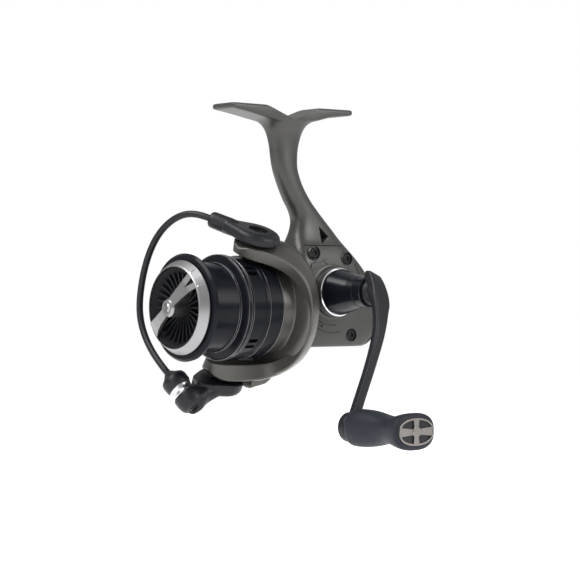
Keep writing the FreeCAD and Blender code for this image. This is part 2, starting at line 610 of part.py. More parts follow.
cover = body("bail_arm_cover", turn=LEAN, **SPOOL_AT)
spin(cover, [("6.6", "arm_r + 0.05"), ("6.6", "arm_r + 2"), ("9.4", "arm_r + 4.1"), ("13.9", "arm_r + 5.3"),
             ("13.9", "arm_r + 3.9"), ("9.8", "arm_r + 2.8"), ("8.2", "arm_r + 1.4"),
             ("8.2", "arm_r + 0.05")], angle=50, shift=Place(V(0, 0, 0), Turn(V(1, 0, 0), 180)))
slab(cover, "XY_Plane", "-36", "-20", shell((0, 40), (0, 12), (6, 12), (9, 10.6), (14.5, 7.6), (14.5, -7.6),
                                            (9, -10.6), (6, -12), (0, -12), (0, -40), (50, -40), (50, 40)),
     cut=True)


def pivot_screw(side):
    """Screw through a rotor arm that carries the bail on one side."""
    turn = LEAN.multiply(Turn(V(0, 1, 0), -90 * side))
    where = ROTOR.multVec(V(DIMS["pivot_x"][0], 0, 0))
    made = body("screw", x="%.5f" % where.x, y="%.5f" % where.y, z="%.5f" % where.z, turn=turn, tip=True)
    spin(made, [("arm_in_r + 0.3", "0"), ("arm_in_r + 0.3", "1.8"), ("bail_out - 1.5", "1.8"),
                ("bail_out - 1.5", "3.3"), ("bail_out - 0.5", "3.3"), ("bail_out - 0.1", "2.9"),
                ("bail_out - 0.1", "0")])
    slab(made, "YZ_Plane", "bail_out - 0.8", "bail_out + 1", shell((-2.2, -0.4), (2.2, -0.4), (2.2, 0.4),
                                                                   (-2.2, 0.4)), cut=True)
    return made


named(joined("pivots", [pivot_screw(1), pivot_screw(-1)]), "bail_pivot_screws")

# Torsion spring under the arm cover, wound as a helix of round wire.
coil = doc.addObject("Part::Helix", "coil_path")
coil.Pitch = 0.95
coil.Height = 2.85
coil.Radius = 1.05
coil.Placement = ROTOR.multiply(Place(V(10.1, 0, -29.3), Turn(V(0, 1, 0), 90)))
coil_wire = doc.addObject("Part::Circle", "coil_wire")
coil_wire.Radius = 0.3
coil_wire.Placement = coil.Placement.multiply(Place(V(1.05, 0, 0), Turn(V(1, 0, 0), 90)))
doc.recompute()
spring = doc.addObject("Part::Sweep", "bail_spring")
spring.Sections = [coil_wire]
spring.Spine = (coil, [])
spring.Solid = True
spring.Frenet = True
doc.recompute()
named(spring, "bail_spring")

trip = body("bail_trip_lever", turn=LEAN, **SPOOL_AT)
slab(trip, "XY_Plane", "-22.3", "-20.6", shell((3.4, -1.2), (5.5, -1.2), (6.0, 0), (5.5, 1.2), (3.4, 1.2)))

# ---------------------------------------------------------------- bail
AXIS_R = V(-0.333, 0.827, -0.453)
AXIS_R.normalize()
ROLLER = V(41.0, 0.2, -35.0)


def on_roller(along):
    """Point on the roller's axis, in the rotor's frame."""
    return tuple(ROLLER + AXIS_R * along)


lever = body("lever_plate", turn=LEAN, tip=True, **SPOOL_AT)
slab(lever, "XY_Plane", "-bail_out", "-bail_in", hull(23, 0, 8.4, 36.2, 4.6, 4.4))
round_edges(lever, 1.6, at_level(2, -34.0))
slab(lever, "XY_Plane", "-38", "-20", ("pivot_x", "0", "1.88"), cut=True)
slab(lever, "XY_Plane", "-38", "-bail_out + 1.7", ("pivot_x", "0", "3.6"), cut=True)
collar = rod("collar", ROTOR, on_roller(2.2), tuple(AXIS_R), "collar_r", "3.4")
collar_edge = rod("collar_edge", ROTOR, on_roller(5.6), tuple(AXIS_R), "collar_r", "0.9", "collar_r - 0.9")
brace = rod("brace", ROTOR, on_roller(2.2), tuple(AXIS_R), "4.9", "4.2")
solid = joined("lever_solid", [lever, collar, collar_edge, brace])
room = rod("roller_room", ROTOR, on_roller(-7), tuple(AXIS_R), "cap_r + 0.6", "9.2")
named(less("lever_cut", less("lever_open", solid, room),
           rod("lever_bore", ROTOR, on_roller(1), tuple(AXIS_R), "1.25", "8")), "bail_lever")

holder = body("bail_holder", turn=LEAN, **SPOOL_AT)
slab(holder, "XY_Plane", "bail_in", "bail_out", hull(23, 0, 9.6, 32.6, -15.2, 3.9))
round_edges(holder, 1.6, at_level(2, 34.0))
slab(holder, "XY_Plane", "20", "38", ("pivot_x", "0", "1.88"), cut=True)
slab(holder, "XY_Plane", "bail_out - 1.7", "38", ("pivot_x", "0", "3.6"), cut=True)

# Bail wire stations: height along the pivot axis, distance from it, angle from straight ahead.
STATIONS = [(30.4, 17.4, 58.0), (30.7, 21.5, 58.0), (30.3, 27.0, 59.0), (27.6, 33.4, 61.0),
            (18.7, 40.6, 62.0), (4.7, 43.5, 62.0), (-10.5, 42.0, 60.5), (-18.7, 38.4, 56.5),
            (-24.6, 32.4, 48.0), (-28.2, 26.6, 35.0)]
path = []
for high, reach, angle in STATIONS:
    a = math.radians(angle)
    path.append(V(DIMS["pivot_x"][0] + reach * math.cos(a), -reach * math.sin(a), high))
path += [ROLLER - AXIS_R * 10.6, ROLLER - AXIS_R * 7.7]
curve = Part.BSplineCurve()
curve.interpolate(path)
spine = Part.Wire([curve.toShape()])
start_dir = curve.tangent(curve.FirstParameter)[0]
ring = Part.Wire([Part.Circle(path[0], start_dir, DIMS["wire_r"][0]).toShape()])
tube = spine.makePipeShell([ring], True, False)
wire = doc.addObject("Part::Feature", "bail_wire")
wire.Shape = tube
wire.Placement = ROTOR
wire.Label = "bail_wire"
pieces.append(wire)
holder_socket = rod("socket", ROTOR, tuple(path[0] - (path[1] - path[0]).normalize() * 0.5),
                    tuple(path[1] - path[0]), "wire_r + 0.2", "9.5")
holder.Label = "holder_plate"
pieces.remove(holder)
named(less("holder_open", holder, holder_socket), "bail_holder")

roller = rod("roller_drum", ROTOR, on_roller(-1.9), tuple(AXIS_R), "roller_r", "1.9", "roller_r - 0.7")
roller_b = rod("roller_drum_b", ROTOR, on_roller(0), tuple(AXIS_R), "roller_r - 0.7", "1.9", "roller_r")
named(less("roller_open", joined("roller_both", [roller, roller_b]),
           rod("roller_bore", ROTOR, on_roller(-3), tuple(AXIS_R), "2.1", "6")), "line_roller")
sleeve = rod("bush_out", ROTOR, on_roller(-1.9), tuple(AXIS_R), "2.05", "3.8")
named(less("bush_ring", sleeve, rod("bush_in", ROTOR, on_roller(-3), tuple(AXIS_R), "1.25", "6")),
      "roller_bush")
cap = joined("cap_solid", [
    rod("cap_disc", ROTOR, on_roller(-4.6), tuple(AXIS_R), "cap_r", "2.4"),
    rod("cap_cone", ROTOR, on_roller(-9.0), tuple(AXIS_R), "wire_r + 0.5", "4.4", "cap_r")])
named(less("cap_open", less("cap_bored", cap,
                            rod("cap_bore", ROTOR, on_roller(-6), tuple(AXIS_R), "1.25", "6")),
           rod("cap_socket", ROTOR, on_roller(-9.6), tuple(AXIS_R), "wire_r + 0.1", "2.2")),
      "roller_cap")
bolt = joined("bolt_solid", [
    rod("bolt_shank", ROTOR, on_roller(-5.4), tuple(AXIS_R), "1.2", "12"),
    rod("bolt_head", ROTOR, on_roller(6.55), tuple(AXIS_R), "2.6", "0.8", "2.2")])
named(less("bolt_open", bolt, rod("bolt_socket", ROTOR, on_roller(6.6), tuple(AXIS_R), "1.1", "1")),
      "roller_screw")

# ---------------------------------------------------------------- main shaft and what rides on it
main = body("main_shaft", **SPOOL_AT)
spin(main, [("-31", "0"), ("-31", "shaft_r - 0.3"), ("-30.7", "shaft_r"), ("48.4", "shaft_r"),
            ("48.8", "shaft_r - 0.4"), ("48.8", "0")])

slider = body("crosshead_slider", x="crank_x", z="spool_z")
slab(slider, "YZ_Plane", "-2.4", "2.4", [("-4.8", "-13.2"), ("1.7", "-13.2"), ("1.7", "-9.0"),
                                         ("-3.1", "-9.0"), ("-3.1", "-2.4"), ("2", "-2.4"), ("2", "2.3"),
                                         ("-4.8", "2.3")])
slab(slider, "YZ_Plane", "-3", "3", ("0", "0", "shaft_r + slip"), cut=True)
slab(slider, "YZ_Plane", "-3", "3", ("0", "-11", "1.03"), cut=True)
slab(slider, "XZ_Plane", "-5", "-2.6", shell((-1.3, -12), (1.3, -12), (1.3, -3.4), (-1.3, -3.4)), cut=True)

seat = body("spool_sleeve", **SPOOL_AT)
spin(seat, [("30.2", "shaft_r + slip"), ("30.2", "6"), ("31.3", "6"), ("31.3", "2.5"), ("41.3", "2.5"),
            ("41.3", "shaft_r + slip")])
washer = body("spool_shim", **SPOOL_AT)
slab(washer, "YZ_Plane", "29.8", "30.15", ("0", "0", "4.4"), ("0", "0", "shaft_r + slip"))

# ---------------------------------------------------------------- spool
spool = body("spool", **SPOOL_AT)
spin(spool, [
    ("skirt_back", "skirt_r - 0.9"), ("skirt_back", "skirt_r - 0.3"), ("skirt_back + 0.5", "skirt_r"),
    ("22.8", "skirt_r + 0.1"), ("23.1", "skirt_r + 0.4"), ("24.8", "skirt_r + 0.4"),
    ("25.1", "skirt_r + 0.1"), ("31.0", "skirt_r + 0.3"), ("31.3", "skirt_r"), ("31.7", "flange_r - 0.3"),
    ("32.0", "flange_r - 0.6"), ("32.5", "flange_r"), ("34", "flange_r"), ("34.5", "flange_r - 0.6"),
    ("35.0", "arbor_r"), ("47.8", "arbor_r"), ("48.5", "lip_r - 1.3"), ("49.1", "lip_r - 0.1"),
    ("49.8", "lip_r"), ("lip_front", "lip_r - 0.9"), ("lip_front", "bowl_r"), ("web_x", "bowl_r"),
    ("web_x", "2.53"), ("hub_back", "2.53"), ("hub_back", "5"), ("web_x - 2.2", "5"),
    ("web_x - 2.2", "bowl_r + 0.4"), ("33.4", "bowl_r + 0.4"), ("32.4", "skirt_r - 0.9")])
ports = []
for angle in (-49, -40):
    a = math.radians(angle)
    made = new_sketch(spool, "XY_Plane", shift=Place(V(0, 19.9 * math.cos(a), 19.9 * math.sin(a)),
                                                     Turn(V(1, 0, 0), angle + 90 - 180)))
    polygon(made, shell((25.9, -0.9), (30.3, -0.9), (30.3, 0.9), (25.9, 0.9)))
    feature = spool.newObject("PartDesign::Pocket", "Port")
    feature.Profile = made
    feature.Length = 2.4
    feature.SideType = "Symmetric"
    update(made, feature)
    ports.append(feature)
around(spool, ports, 4, "X_Axis")
balance = slab(spool, "YZ_Plane", "web_x - 3", "web_x + 1", ("9.6", "0", "2.1"), cut=True)
around(spool, [balance], 6, "X_Axis")

clip = body("line_clip", turn=Turn(V(1, 0, 0), 180), **SPOOL_AT)
slab(clip, "XY_Plane", "skirt_r + 0.15", "skirt_r + 0.9", shell((17.2, -1.6), (21.6, -1.6), (22.4, 0),
                                                                (21.6, 1.6), (17.2, 1.6)))

click = body("spool_clicker", **SPOOL_AT)
slab(click, "YZ_Plane", "web_x - 3", "web_x - 2.25", ("0", "0", "8.6"), ("0", "0", "5.03"))
click_tooth = slab(click, "YZ_Plane", "web_x - 3", "web_x - 2.25", shell((8.4, -0.5), (9.3, 0), (8.4, 0.5)))
around(click, [click_tooth], 30, "X_Axis")

drag_washers = []
for level, thick, radius in (("41.6", 0.8, "14.2"), ("42.5", 0.5, "13.6"), ("43.1", 0.8, "14.2"),
                             ("44.0", 0.5, "13.6")):
    disc = body("washer", tip=True, **SPOOL_AT)
    slab(disc, "YZ_Plane", level, "%s + %s" % (level, thick), ("0", "0", radius), ("0", "0", "2.6"))
    drag_washers.append(disc)
named(joined("drag_stack", drag_washers), "drag_washers")

circlip = body("drag_retaining_ring", **SPOOL_AT)
spin(circlip, [("45", "bowl_r - 1.1"), ("45", "bowl_r - 0.05"), ("45.6", "bowl_r - 0.05"),
               ("45.6", "bowl_r - 1.1")])
slab(circlip, "XZ_Plane", "-1.2", "1.2", shell((44, 10), (47, 10), (47, 16), (44, 16)), cut=True)

# ---------------------------------------------------------------- drag knob
knob = body("drag_knob", **SPOOL_AT)
spin(knob, [("46.2", "shaft_r + slip"), ("46.2", "knob_r - 2"), ("46.8", "knob_r - 0.5"), ("49.8", "knob_r"),
            ("lip_front + 0.3", "knob_r"), ("lip_front + 0.6", "ring_in - 0.05"),
            ("ring_front - 0.9", "ring_in - 0.05"), ("ring_front - 0.7", "ring_in - 0.3"),
            ("ring_front - 0.7", "ring_in - 0.9"), ("50.8", "knob_r - 2.2"), ("49.3", "knob_r - 4"),
            ("49.0", "4.4"), ("49.0", "shaft_r + slip")])
fin = slab(knob, "XZ_Plane", "-0.35", "0.35", shell((48.8, 4.2), (48.8, 11.8), (50.7, 12.6), (53.0, 13.5),
                                                    (50.6, 4.2)))
around(knob, [fin], 28, "X_Axis")

# Bezel ring on the knob's rim, with an arched bar across it that splits in two at one end.
trim_piece = body("drag_knob_trim", turn=Turn(V(1, 0, 0), -48), **SPOOL_AT)
arch = [(52.3, 17.4), (54.2, 16.4), (54.85, 15.7), (56.0, 12.5), (57.1, 8), (57.7, 4), (57.8, 0)]
arch += [(x, -z) for x, z in reversed(arch[:-1])]
arch += [(54.45, -15.25), (54.6, -13), (55.6, -8), (56.1, -4), (56.2, 0), (56.1, 4), (55.6, 8),
         (54.6, 13), (54.45, 15.25)]
slab(trim_piece, "XZ_Plane", "-6.5", "6.5", shell(*arch))
slab(trim_piece, "YZ_Plane", "50", "60", shell((-9, -20), (9, -20), (9, 20), (-9, 20)), shell(
    (-2.0, -4), (-3.2, -9), (-5.0, -14), (-6.0, -17.2), (-3, -18.6), (1.6, -18.6), (1.0, -13), (1.2, -9),
    (1.9, -4), (2.1, 4), (2.6, 9), (3.1, 13), (4.3, 18.4), (1.9, 18.6), (0.0, 11.5), (-2.0, 18.6),
    (-4.4, 18.4), (-3.2, 13), (-2.5, 9), (-2.1, 4)), cut=True)
spin(trim_piece, [("lip_front + 0.35", "ring_in + 0.6"), ("lip_front + 0.35", "ring_out - 0.3"),
                  ("lip_front + 0.7", "ring_out"), ("lip_front + 1.0", "ring_out"),
                  ("ring_front - 0.3", "ring_in + 0.6"), ("ring_front", "ring_in + 0.3"),
                  ("ring_front", "ring_in"), ("lip_front + 0.95", "ring_in")])
spin(trim_piece, [("49.03", "1.9"), ("49.03", "3.8"), ("57.2", "3.6"), ("58.2", "2.9"), ("58.2", "1.9")])
slab(trim_piece, "YZ_Plane", "50", "60", ("0", "0", "1.9"), cut=True)

knob_screw = body("drag_knob_screw", **SPOOL_AT)
spin(knob_screw, shell((49.0, 0), (49.0, 1.2), (56.4, 1.2), (56.4, 1.85), (58.0, 1.85), (58.5, 1.2),
                       (58.5, 0)))
slab(knob_screw, "YZ_Plane", "58", "58.8", shell((-0.25, -1.6), (0.25, -1.6), (0.25, 1.6), (-0.25, 1.6)),
     cut=True)

# ---------------------------------------------------------------- handle
ring_piece = body("collar_ring", **CRANK_AT)
spin(ring_piece, [("ring_y", "drive_r + slip"), ("ring_y", "cone_r - 0.1"), ("ring_y + 0.3", "cone_r + 0.2"),
                  ("ring_y + ring_w - 0.3", "cone_r + 0.2"), ("ring_y + ring_w", "cone_r - 0.1"),
                  ("ring_y + ring_w", "drive_r + slip")], plane="YZ_Plane")

cone = body("handle_collar", **CRANK_AT)
spin(cone, [("ring_y + ring_w + 0.03", "drive_r + slip"), ("ring_y + ring_w + 0.03", "cone_r - 0.3"),
            ("ring_y + ring_w + 1.2", "cone_r - 0.35"), ("20", "8.1"), ("25", "6.9"),
            ("28.4", "neck_r + 0.05"), ("28.6", "neck_r - 0.25"), ("28.8", "neck_r"), ("hub_y - 0.4", "neck_r"),
            ("hub_y - 0.1", "neck_r - 0.3"), ("hub_y - 0.1", "drive_r + slip")], plane="YZ_Plane")

arm = body("handle_arm", turn=CRANK, **CRANK_AT)
slab(arm, "XZ_Plane", "0", "60", [
    ("-6.2", "7.4"), ("6.2", "7.4"), ("6.2", "-4"), ("5.2", "-10"), ("4", "-24"), ("3.2", "-40"),
    ("3.2", "-crank_r"), ("-3.2", "-crank_r"), ("-3.2", "-40"), ("-4", "-24"), ("-5.2", "-10"),
    ("-6.2", "-4")])
slab(arm, "YZ_Plane", "-20", "20", [
    ("hub_y", "9"), ("hub_y", "0.5"), ("hub_y + 0.6", "-5"), ("37.9", "-10"), ("42.2", "-20"),
    ("43.7", "-25"), ("44.4", "-31"), ("44.4", "-45"), ("44.4", "-63"), ("-10", "-63"), ("-10", "9")],
    cut=True)
slab(arm, "YZ_Plane", "-20", "20", [
    ("41.2", "9"), ("41.2", "-1"), ("43.8", "-8"), ("47.6", "-19"), ("48.6", "-26"), ("48.3", "-34"),
    ("47.9", "-45"), ("47.9", "-63"), ("70", "-63"), ("70", "9")], cut=True)
spin(arm, [("hub_y", "0"), ("hub_y", "hub_r - 0.4"), ("hub_y + 0.4", "hub_r"), ("40.8", "hub_r"),
           ("41.8", "hub_r - 1.2"), ("41.8", "0")], plane="YZ_Plane")
spin(arm, [("end_y", "0"), ("end_y", "5.4"), ("end_y + 0.4", "5.8"), ("47.8", "5.8"), ("48.2", "5.4"),
           ("48.2", "0")], plane="YZ_Plane", shift=Place(V(0, -56, 0), Turn()))
slab(arm, "XZ_Plane", "hub_y - 1", "38", ("0", "0", "drive_r + slip"), cut=True)
slab(arm, "XZ_Plane", "end_y - 1", "50", ("0", "-crank_r", "2.03"), cut=True)

far = CRANK.multVec(V(0, 0, -DIMS["crank_r"][0]))
GRIP_AT = {"x": "crank_x + %.4f" % far.x, "z": "crank_z %s %.4f" % ("-" if far.z < 0 else "+", abs(far.z))}
spindle = body("knob_spindle", **GRIP_AT)
spin(spindle, shell((44.0, 0), (44.0, 2.0), (76, 2.0), (76, 2.6), (77, 2.6), (77, 0)), plane="YZ_Plane")

stations = [(48.5, 6.3, 6.3), (50.0, 6.6, 6.5), (55.0, 5.7, 5.4), (60.0, 5.6, 5.0), (67.0, 7.6, 5.7),
            (74.0, 9.6, 6.6), (79.5, 10.4, 6.95), (81.4, 10.1, 6.7), (82.0, 9.4, 6.1)]
sections = []
for level, wide, deep in stations:
    oval = doc.addObject("Part::Ellipse", "section")
    oval.MajorRadius = wide + 0.001
    oval.MinorRadius = deep
    oval.Placement = Place(V(value(GRIP_AT["x"]), level, value(GRIP_AT["z"])), Turn(V(1, 0, 0), 90))
    sections.append(oval)
doc.recompute()
grip_solid = doc.addObject("Part::Loft", "grip_solid")
grip_solid.Sections = sections
grip_solid.Solid = True
grip_solid.Ruled = False
doc.recompute()
here = Place(V(value(GRIP_AT["x"]), 0, value(GRIP_AT["z"])), Turn())
grip_bore = joined("grip_bore", [rod("bore_a", here, (0, 48, 0), (0, 1, 0), "2.1", "29.4"),
                                 rod("bore_b", here, (0, 75.7, 0), (0, 1, 0), "2.8", "6.5")])
named(less("grip_cut", grip_solid, grip_bore), "handle_knob")

badge = body("knob_cap", **GRIP_AT)
slab(badge, "XZ_Plane", "77.4", "grip_end + 0.2", ("0", "0", "2.7"))
oval_ring = new_sketch(badge, "XZ_Plane", "-grip_end - 0.9")
for wide, deep in ((8.5, 4.9),):
    oval_ring.addGeometry(Part.Ellipse(V(0, 0, 0), wide, deep))
oval_pad = badge.newObject("PartDesign::Pad", "Face")
oval_pad.Profile = oval_ring
oval_pad.Length = 0.85
doc.recompute()
hollow = new_sketch(badge, "XZ_Plane", "-grip_end - 0.45")
hollow.addGeometry(Part.Ellipse(V(0, 0, 0), 7.6, 4.1))
hollow_cut = badge.newObject("PartDesign::Pocket", "Hollow")
hollow_cut.Profile = hollow
hollow_cut.Length = 1
doc.recompute()
slab(badge, "XZ_Plane", "grip_end + 0.4", "grip_end + 0.75", shell((-0.6, -4.3), (0.6, -4.3), (0.6, 4.3),
                                                                   (-0.6, 4.3)))
slab(badge, "XZ_Plane", "grip_end + 0.4", "grip_end + 0.75", shell((-7.8, -0.5), (7.8, -0.5), (7.8, 0.5),
                                                                   (-7.8, 0.5)))

# ---------------------------------------------------------------- check and export
doc.recompute()
os.makedirs("parts", exist_ok=True)
for item in doc.Objects:
    if "Invalid" in item.State or "Error" in item.State:
        print("failed object", item.Label, item.Name, item.State)
for piece in pieces:
    shape = piece.Shape
    if shape.isNull() or not shape.isValid():
        print("unusable shape", piece.Label)
        continue
    print("%-28s solids %d volume %9.1f" % (piece.Label, len(shape.Solids), shape.Volume))
    shape.exportStep("parts/%s.step" % piece.Label)
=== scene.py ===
import math
import bmesh
import bpy
from mathutils import Matrix, Vector


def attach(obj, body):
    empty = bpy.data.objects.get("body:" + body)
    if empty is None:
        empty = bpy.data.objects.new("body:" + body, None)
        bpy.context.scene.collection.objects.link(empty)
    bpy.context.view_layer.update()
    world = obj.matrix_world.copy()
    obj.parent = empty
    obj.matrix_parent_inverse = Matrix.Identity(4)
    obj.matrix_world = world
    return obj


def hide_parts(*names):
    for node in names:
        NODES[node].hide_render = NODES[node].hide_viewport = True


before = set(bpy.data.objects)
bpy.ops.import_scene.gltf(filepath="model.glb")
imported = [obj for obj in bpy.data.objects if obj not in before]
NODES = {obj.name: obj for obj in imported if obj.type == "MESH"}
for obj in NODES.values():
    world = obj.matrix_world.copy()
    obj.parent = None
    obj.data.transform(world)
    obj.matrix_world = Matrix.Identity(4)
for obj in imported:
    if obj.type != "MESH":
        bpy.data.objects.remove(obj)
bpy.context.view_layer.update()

# ------------------------------------------------------------ places and sizes, in millimetres
MM = 0.001
SPOOL_Z = -80.0
CRANK = Vector((-17.0, 0.0, -74.0))
CRANK_RADIUS = 56
# the bail's pivot, forward of the rotor's origin
PIVOT_X = 23
ARM_R = 27.4
COVER_FOOT_R = 27.3
WIRE_R = 1.35
# degrees over which an edge counts as sharp, on castings and on turned parts
CAST_ANGLE = 32
TURNED_ANGLE = 30
LEAN = Matrix.Rotation(math.radians(-22), 4, "X")
ROTOR = Matrix.Translation((0, 0, SPOOL_Z)) @ LEAN
SPOOL = Matrix.Translation((0, 0, SPOOL_Z))
HANDLE = Matrix.Translation(CRANK) @ Matrix.Rotation(math.radians(-23), 4, "Y")
GRIP = Matrix.Translation(HANDLE @ Vector((0, 0, -CRANK_RADIUS)))
SIDE = Matrix.Translation(CRANK)
NONE = Matrix.Identity(4)
ROLLER_AXIS = Vector((-0.333, 0.827, -0.453)).normalized()
ROLLER_AT = Vector((41.0, 0.2, -35.0))


# ------------------------------------------------------------ mesh helpers
def add_object(name, data):
    """Object in the scene that shows a mesh, a light or a camera."""
    obj = bpy.data.objects.new(name, data)
    bpy.context.collection.objects.link(obj)
    return obj


def soften(obj, width, segments=2, angle=CAST_ANGLE):
    """Round an object's sharp edges."""
    mod = obj.modifiers.new("edges", "BEVEL")
    mod.width = width * MM
    mod.segments = segments
    mod.limit_method = "ANGLE"
    mod.angle_limit = math.radians(angle)
    mod.harden_normals = True
    return obj


def build(name, verts, faces, place=NONE, smooth=TURNED_ANGLE, bevel=0.0):
    """Mesh object from points in millimetres, with sharp edges by angle."""
    mesh = bpy.data.meshes.new(name)
    mesh.from_pydata([(place @ Vector(v)) * MM for v in verts], [], faces)
    mesh.validate()
    obj = add_object(name, mesh)
    bm = bmesh.new()
    bm.from_mesh(mesh)
    bmesh.ops.remove_doubles(bm, verts=bm.verts, dist=1e-7)
    bmesh.ops.recalc_face_normals(bm, faces=bm.faces)
    for face in bm.faces:
        face.smooth = True
    bm.to_mesh(mesh)
    bm.free()
    mesh.set_sharp_from_angle(angle=math.radians(smooth))
    if bevel:
        soften(obj, bevel, angle=smooth)
    return obj


def lathe(name, profile, place=NONE, axis="X", count=160, **more):
    """Turn (distance along axis, radius) points into a closed ring of surface."""
    verts = []
    faces = []
    rows = len(profile)
    for i in range(count):
        a = 2 * math.pi * i / count
        c, s = math.cos(a), math.sin(a)
        for along, r in profile:
            verts.append((along, r * c, r * s) if axis == "X" else (r * c, along, r * s))
    for i in range(count):
        for k in range(rows):
            a = i * rows + k
            b = i * rows + (k + 1) % rows
            c = ((i + 1) % count) * rows + (k + 1) % rows
            d = ((i + 1) % count) * rows + k
            faces.append((a, b, c, d))
    return build(name, verts, faces, place, **more)


def skin(name, loops, place=NONE, closed=True, **more):
    """Join equal loops of points into a tube, capped at both ends if it is closed."""
    verts = [tuple(p) for loop in loops for p in loop]
    size = len(loops[0])
    faces = []
    for j in range(len(loops) - 1):
        for i in range(size):
            a = j * size + i
            b = j * size + (i + 1) % size
            faces.append((a, b, b + size, a + size))
    if closed:
        faces.append(tuple(range(size)))
        faces.append(tuple((len(loops) - 1) * size + i for i in range(size)))
    return build(name, verts, faces, place, **more)


def oval(centre, across, up, wide, high, power=2.0, count=40):
    """Superellipse loop with half sizes wide and high."""
    points = []
    for i in range(count):
        a = 2 * math.pi * i / count
        c, s = math.cos(a), math.sin(a)
        x = math.copysign(abs(c) ** (2 / power), c) * wide
        y = math.copysign(abs(s) ** (2 / power), s) * high
        points.append(Vector(centre) + Vector(across) * x + Vector(up) * y)
    return points


def smooth_path(points, steps):
    """Catmull-Rom curve through rows of numbers."""
    out = []
    rows = [points[0]] + list(points) + [points[-1]]
    for i in range(1, len(rows) - 2):
        for k in range(steps):
            t = k / steps
            row = []
            for a, b, c, d in zip(rows[i - 1], rows[i], rows[i + 1], rows[i + 2]):
                row.append(0.5 * (2 * b + (c - a) * t + (2 * a - 5 * b + 4 * c - d) * t * t
                                  + (3 * b - a - 3 * c + d) * t ** 3))
            out.append(tuple(row))
    out.append(tuple(points[-1]))
    return out


def tube(name, path, radius, place=NONE, count=24, **more):
    """Round tube along a list of points; radius is a number or one per point."""
    pts = [Vector(p) for p in path]
    radii = radius if isinstance(radius, list) else [radius] * len(pts)
    loops = []
    side = None
    for i, p in enumerate(pts):
        along = (pts[min(i + 1, len(pts) - 1)] - pts[max(i - 1, 0)]).normalized()
        if side is None:
            side = along.orthogonal().normalized()
        side = (side - along * side.dot(along)).normalized()
        loops.append(oval(p, side, along.cross(side), radii[i], radii[i], count=count))
    return skin(name, loops, place, **more)


def shade(obj, surface):
    """Give an object one material."""
    obj.data.materials.clear()
    obj.data.materials.append(surface)


# ------------------------------------------------------------ materials
TONE_SCALE = 60.0
RELIEF_DEPTH = 0.0001


def noise(tree, vector, scale, detail):
    """Noise texture on a vector socket; returns its strength socket."""
    node = tree.nodes.new("ShaderNodeTexNoise")
    node.inputs["Scale"].default_value = scale
    node.inputs["Detail"].default_value = detail
    tree.links.new(vector, node.inputs["Vector"])
    return node.outputs["Fac"]


def ramp(tree, source, start, low, end, high):
    """Colour that runs from low to high as the source runs from start to end."""
    node = tree.nodes.new("ShaderNodeValToRGB")
    for stop, position, colour in zip(node.color_ramp.elements, (start, end), (low, high)):
        stop.position = position
        stop.color = (*colour, 1)
    tree.links.new(source, node.inputs["Fac"])
    return node.outputs["Color"]


def overlay(tree, mask, under, over):
    """One flat colour laid over another colour socket through a mask."""
    node = tree.nodes.new("ShaderNodeMix")
    node.data_type = "RGBA"
    tree.links.new(mask, node.inputs[0])
    tree.links.new(under, node.inputs[6])
    node.inputs[7].default_value = (*over, 1)
    return node.outputs[2]


def material(name, colour, rough=0.35, metal=0.0, grain=900.0, bump=0.06, vary=0.12, coat=0.0,
             spots=0.0, spot_colour=(0.4, 0.4, 0.4), brushed=None, wear=0.0, shine=0.5):
    """Surface with fine grain, slow tone change and worn edges, all from its own nodes."""
    mat = bpy.data.materials.new(name)
    mat.use_nodes = True
    tree = mat.node_tree
    nodes = tree.nodes
    links = tree.links
    shader = nodes["Principled BSDF"]
    shader.inputs["Metallic"].default_value = metal
    shader.inputs["Specular IOR Level"].default_value = shine
    if coat:
        shader.inputs["Coat Weight"].default_value = coat
        shader.inputs["Coat Roughness"].default_value = 0.08
    where = nodes.new("ShaderNodeTexCoord")
    stretch = nodes.new("ShaderNodeMapping")
    if brushed:
        stretch.inputs["Scale"].default_value = brushed
    links.new(where.outputs["Object"], stretch.inputs["Vector"])
    fine = noise(tree, stretch.outputs["Vector"], grain, 4.0)
    slow = noise(tree, where.outputs["Object"], TONE_SCALE, 3.0)
    low = [max(0.0, c * (1 - vary)) for c in colour]
    high = [min(1.0, c * (1 + vary)) for c in colour]
    last = ramp(tree, slow, 0.3, low, 0.7, high)
    if spots:
        cells = noise(tree, where.outputs["Object"], grain * 2.2, 1.0)
        pick = ramp(tree, cells, 0.58, (0, 0, 0), 0.72, (spots, spots, spots))
        last = overlay(tree, pick, last, spot_colour)
    if wear:
        shape = nodes.new("ShaderNodeNewGeometry")
        edge = ramp(tree, shape.outputs["Pointiness"], 0.54, (0, 0, 0), 0.64, (wear, wear, wear))
        last = overlay(tree, edge, last, [min(1, c * 2.2 + 0.03) for c in colour])
    links.new(last, shader.inputs["Base Color"])
    gloss = nodes.new("ShaderNodeMapRange")
    gloss.inputs["To Min"].default_value = rough * 0.85
    gloss.inputs["To Max"].default_value = rough * 1.15
    links.new(fine, gloss.inputs["Value"])
    links.new(gloss.outputs["Result"], shader.inputs["Roughness"])
    relief = nodes.new("ShaderNodeBump")
    relief.inputs["Strength"].default_value = bump
    relief.inputs["Distance"].default_value = RELIEF_DEPTH
    links.new(fine, relief.inputs["Height"])
    links.new(relief.outputs["Normal"], shader.inputs["Normal"])
    return mat


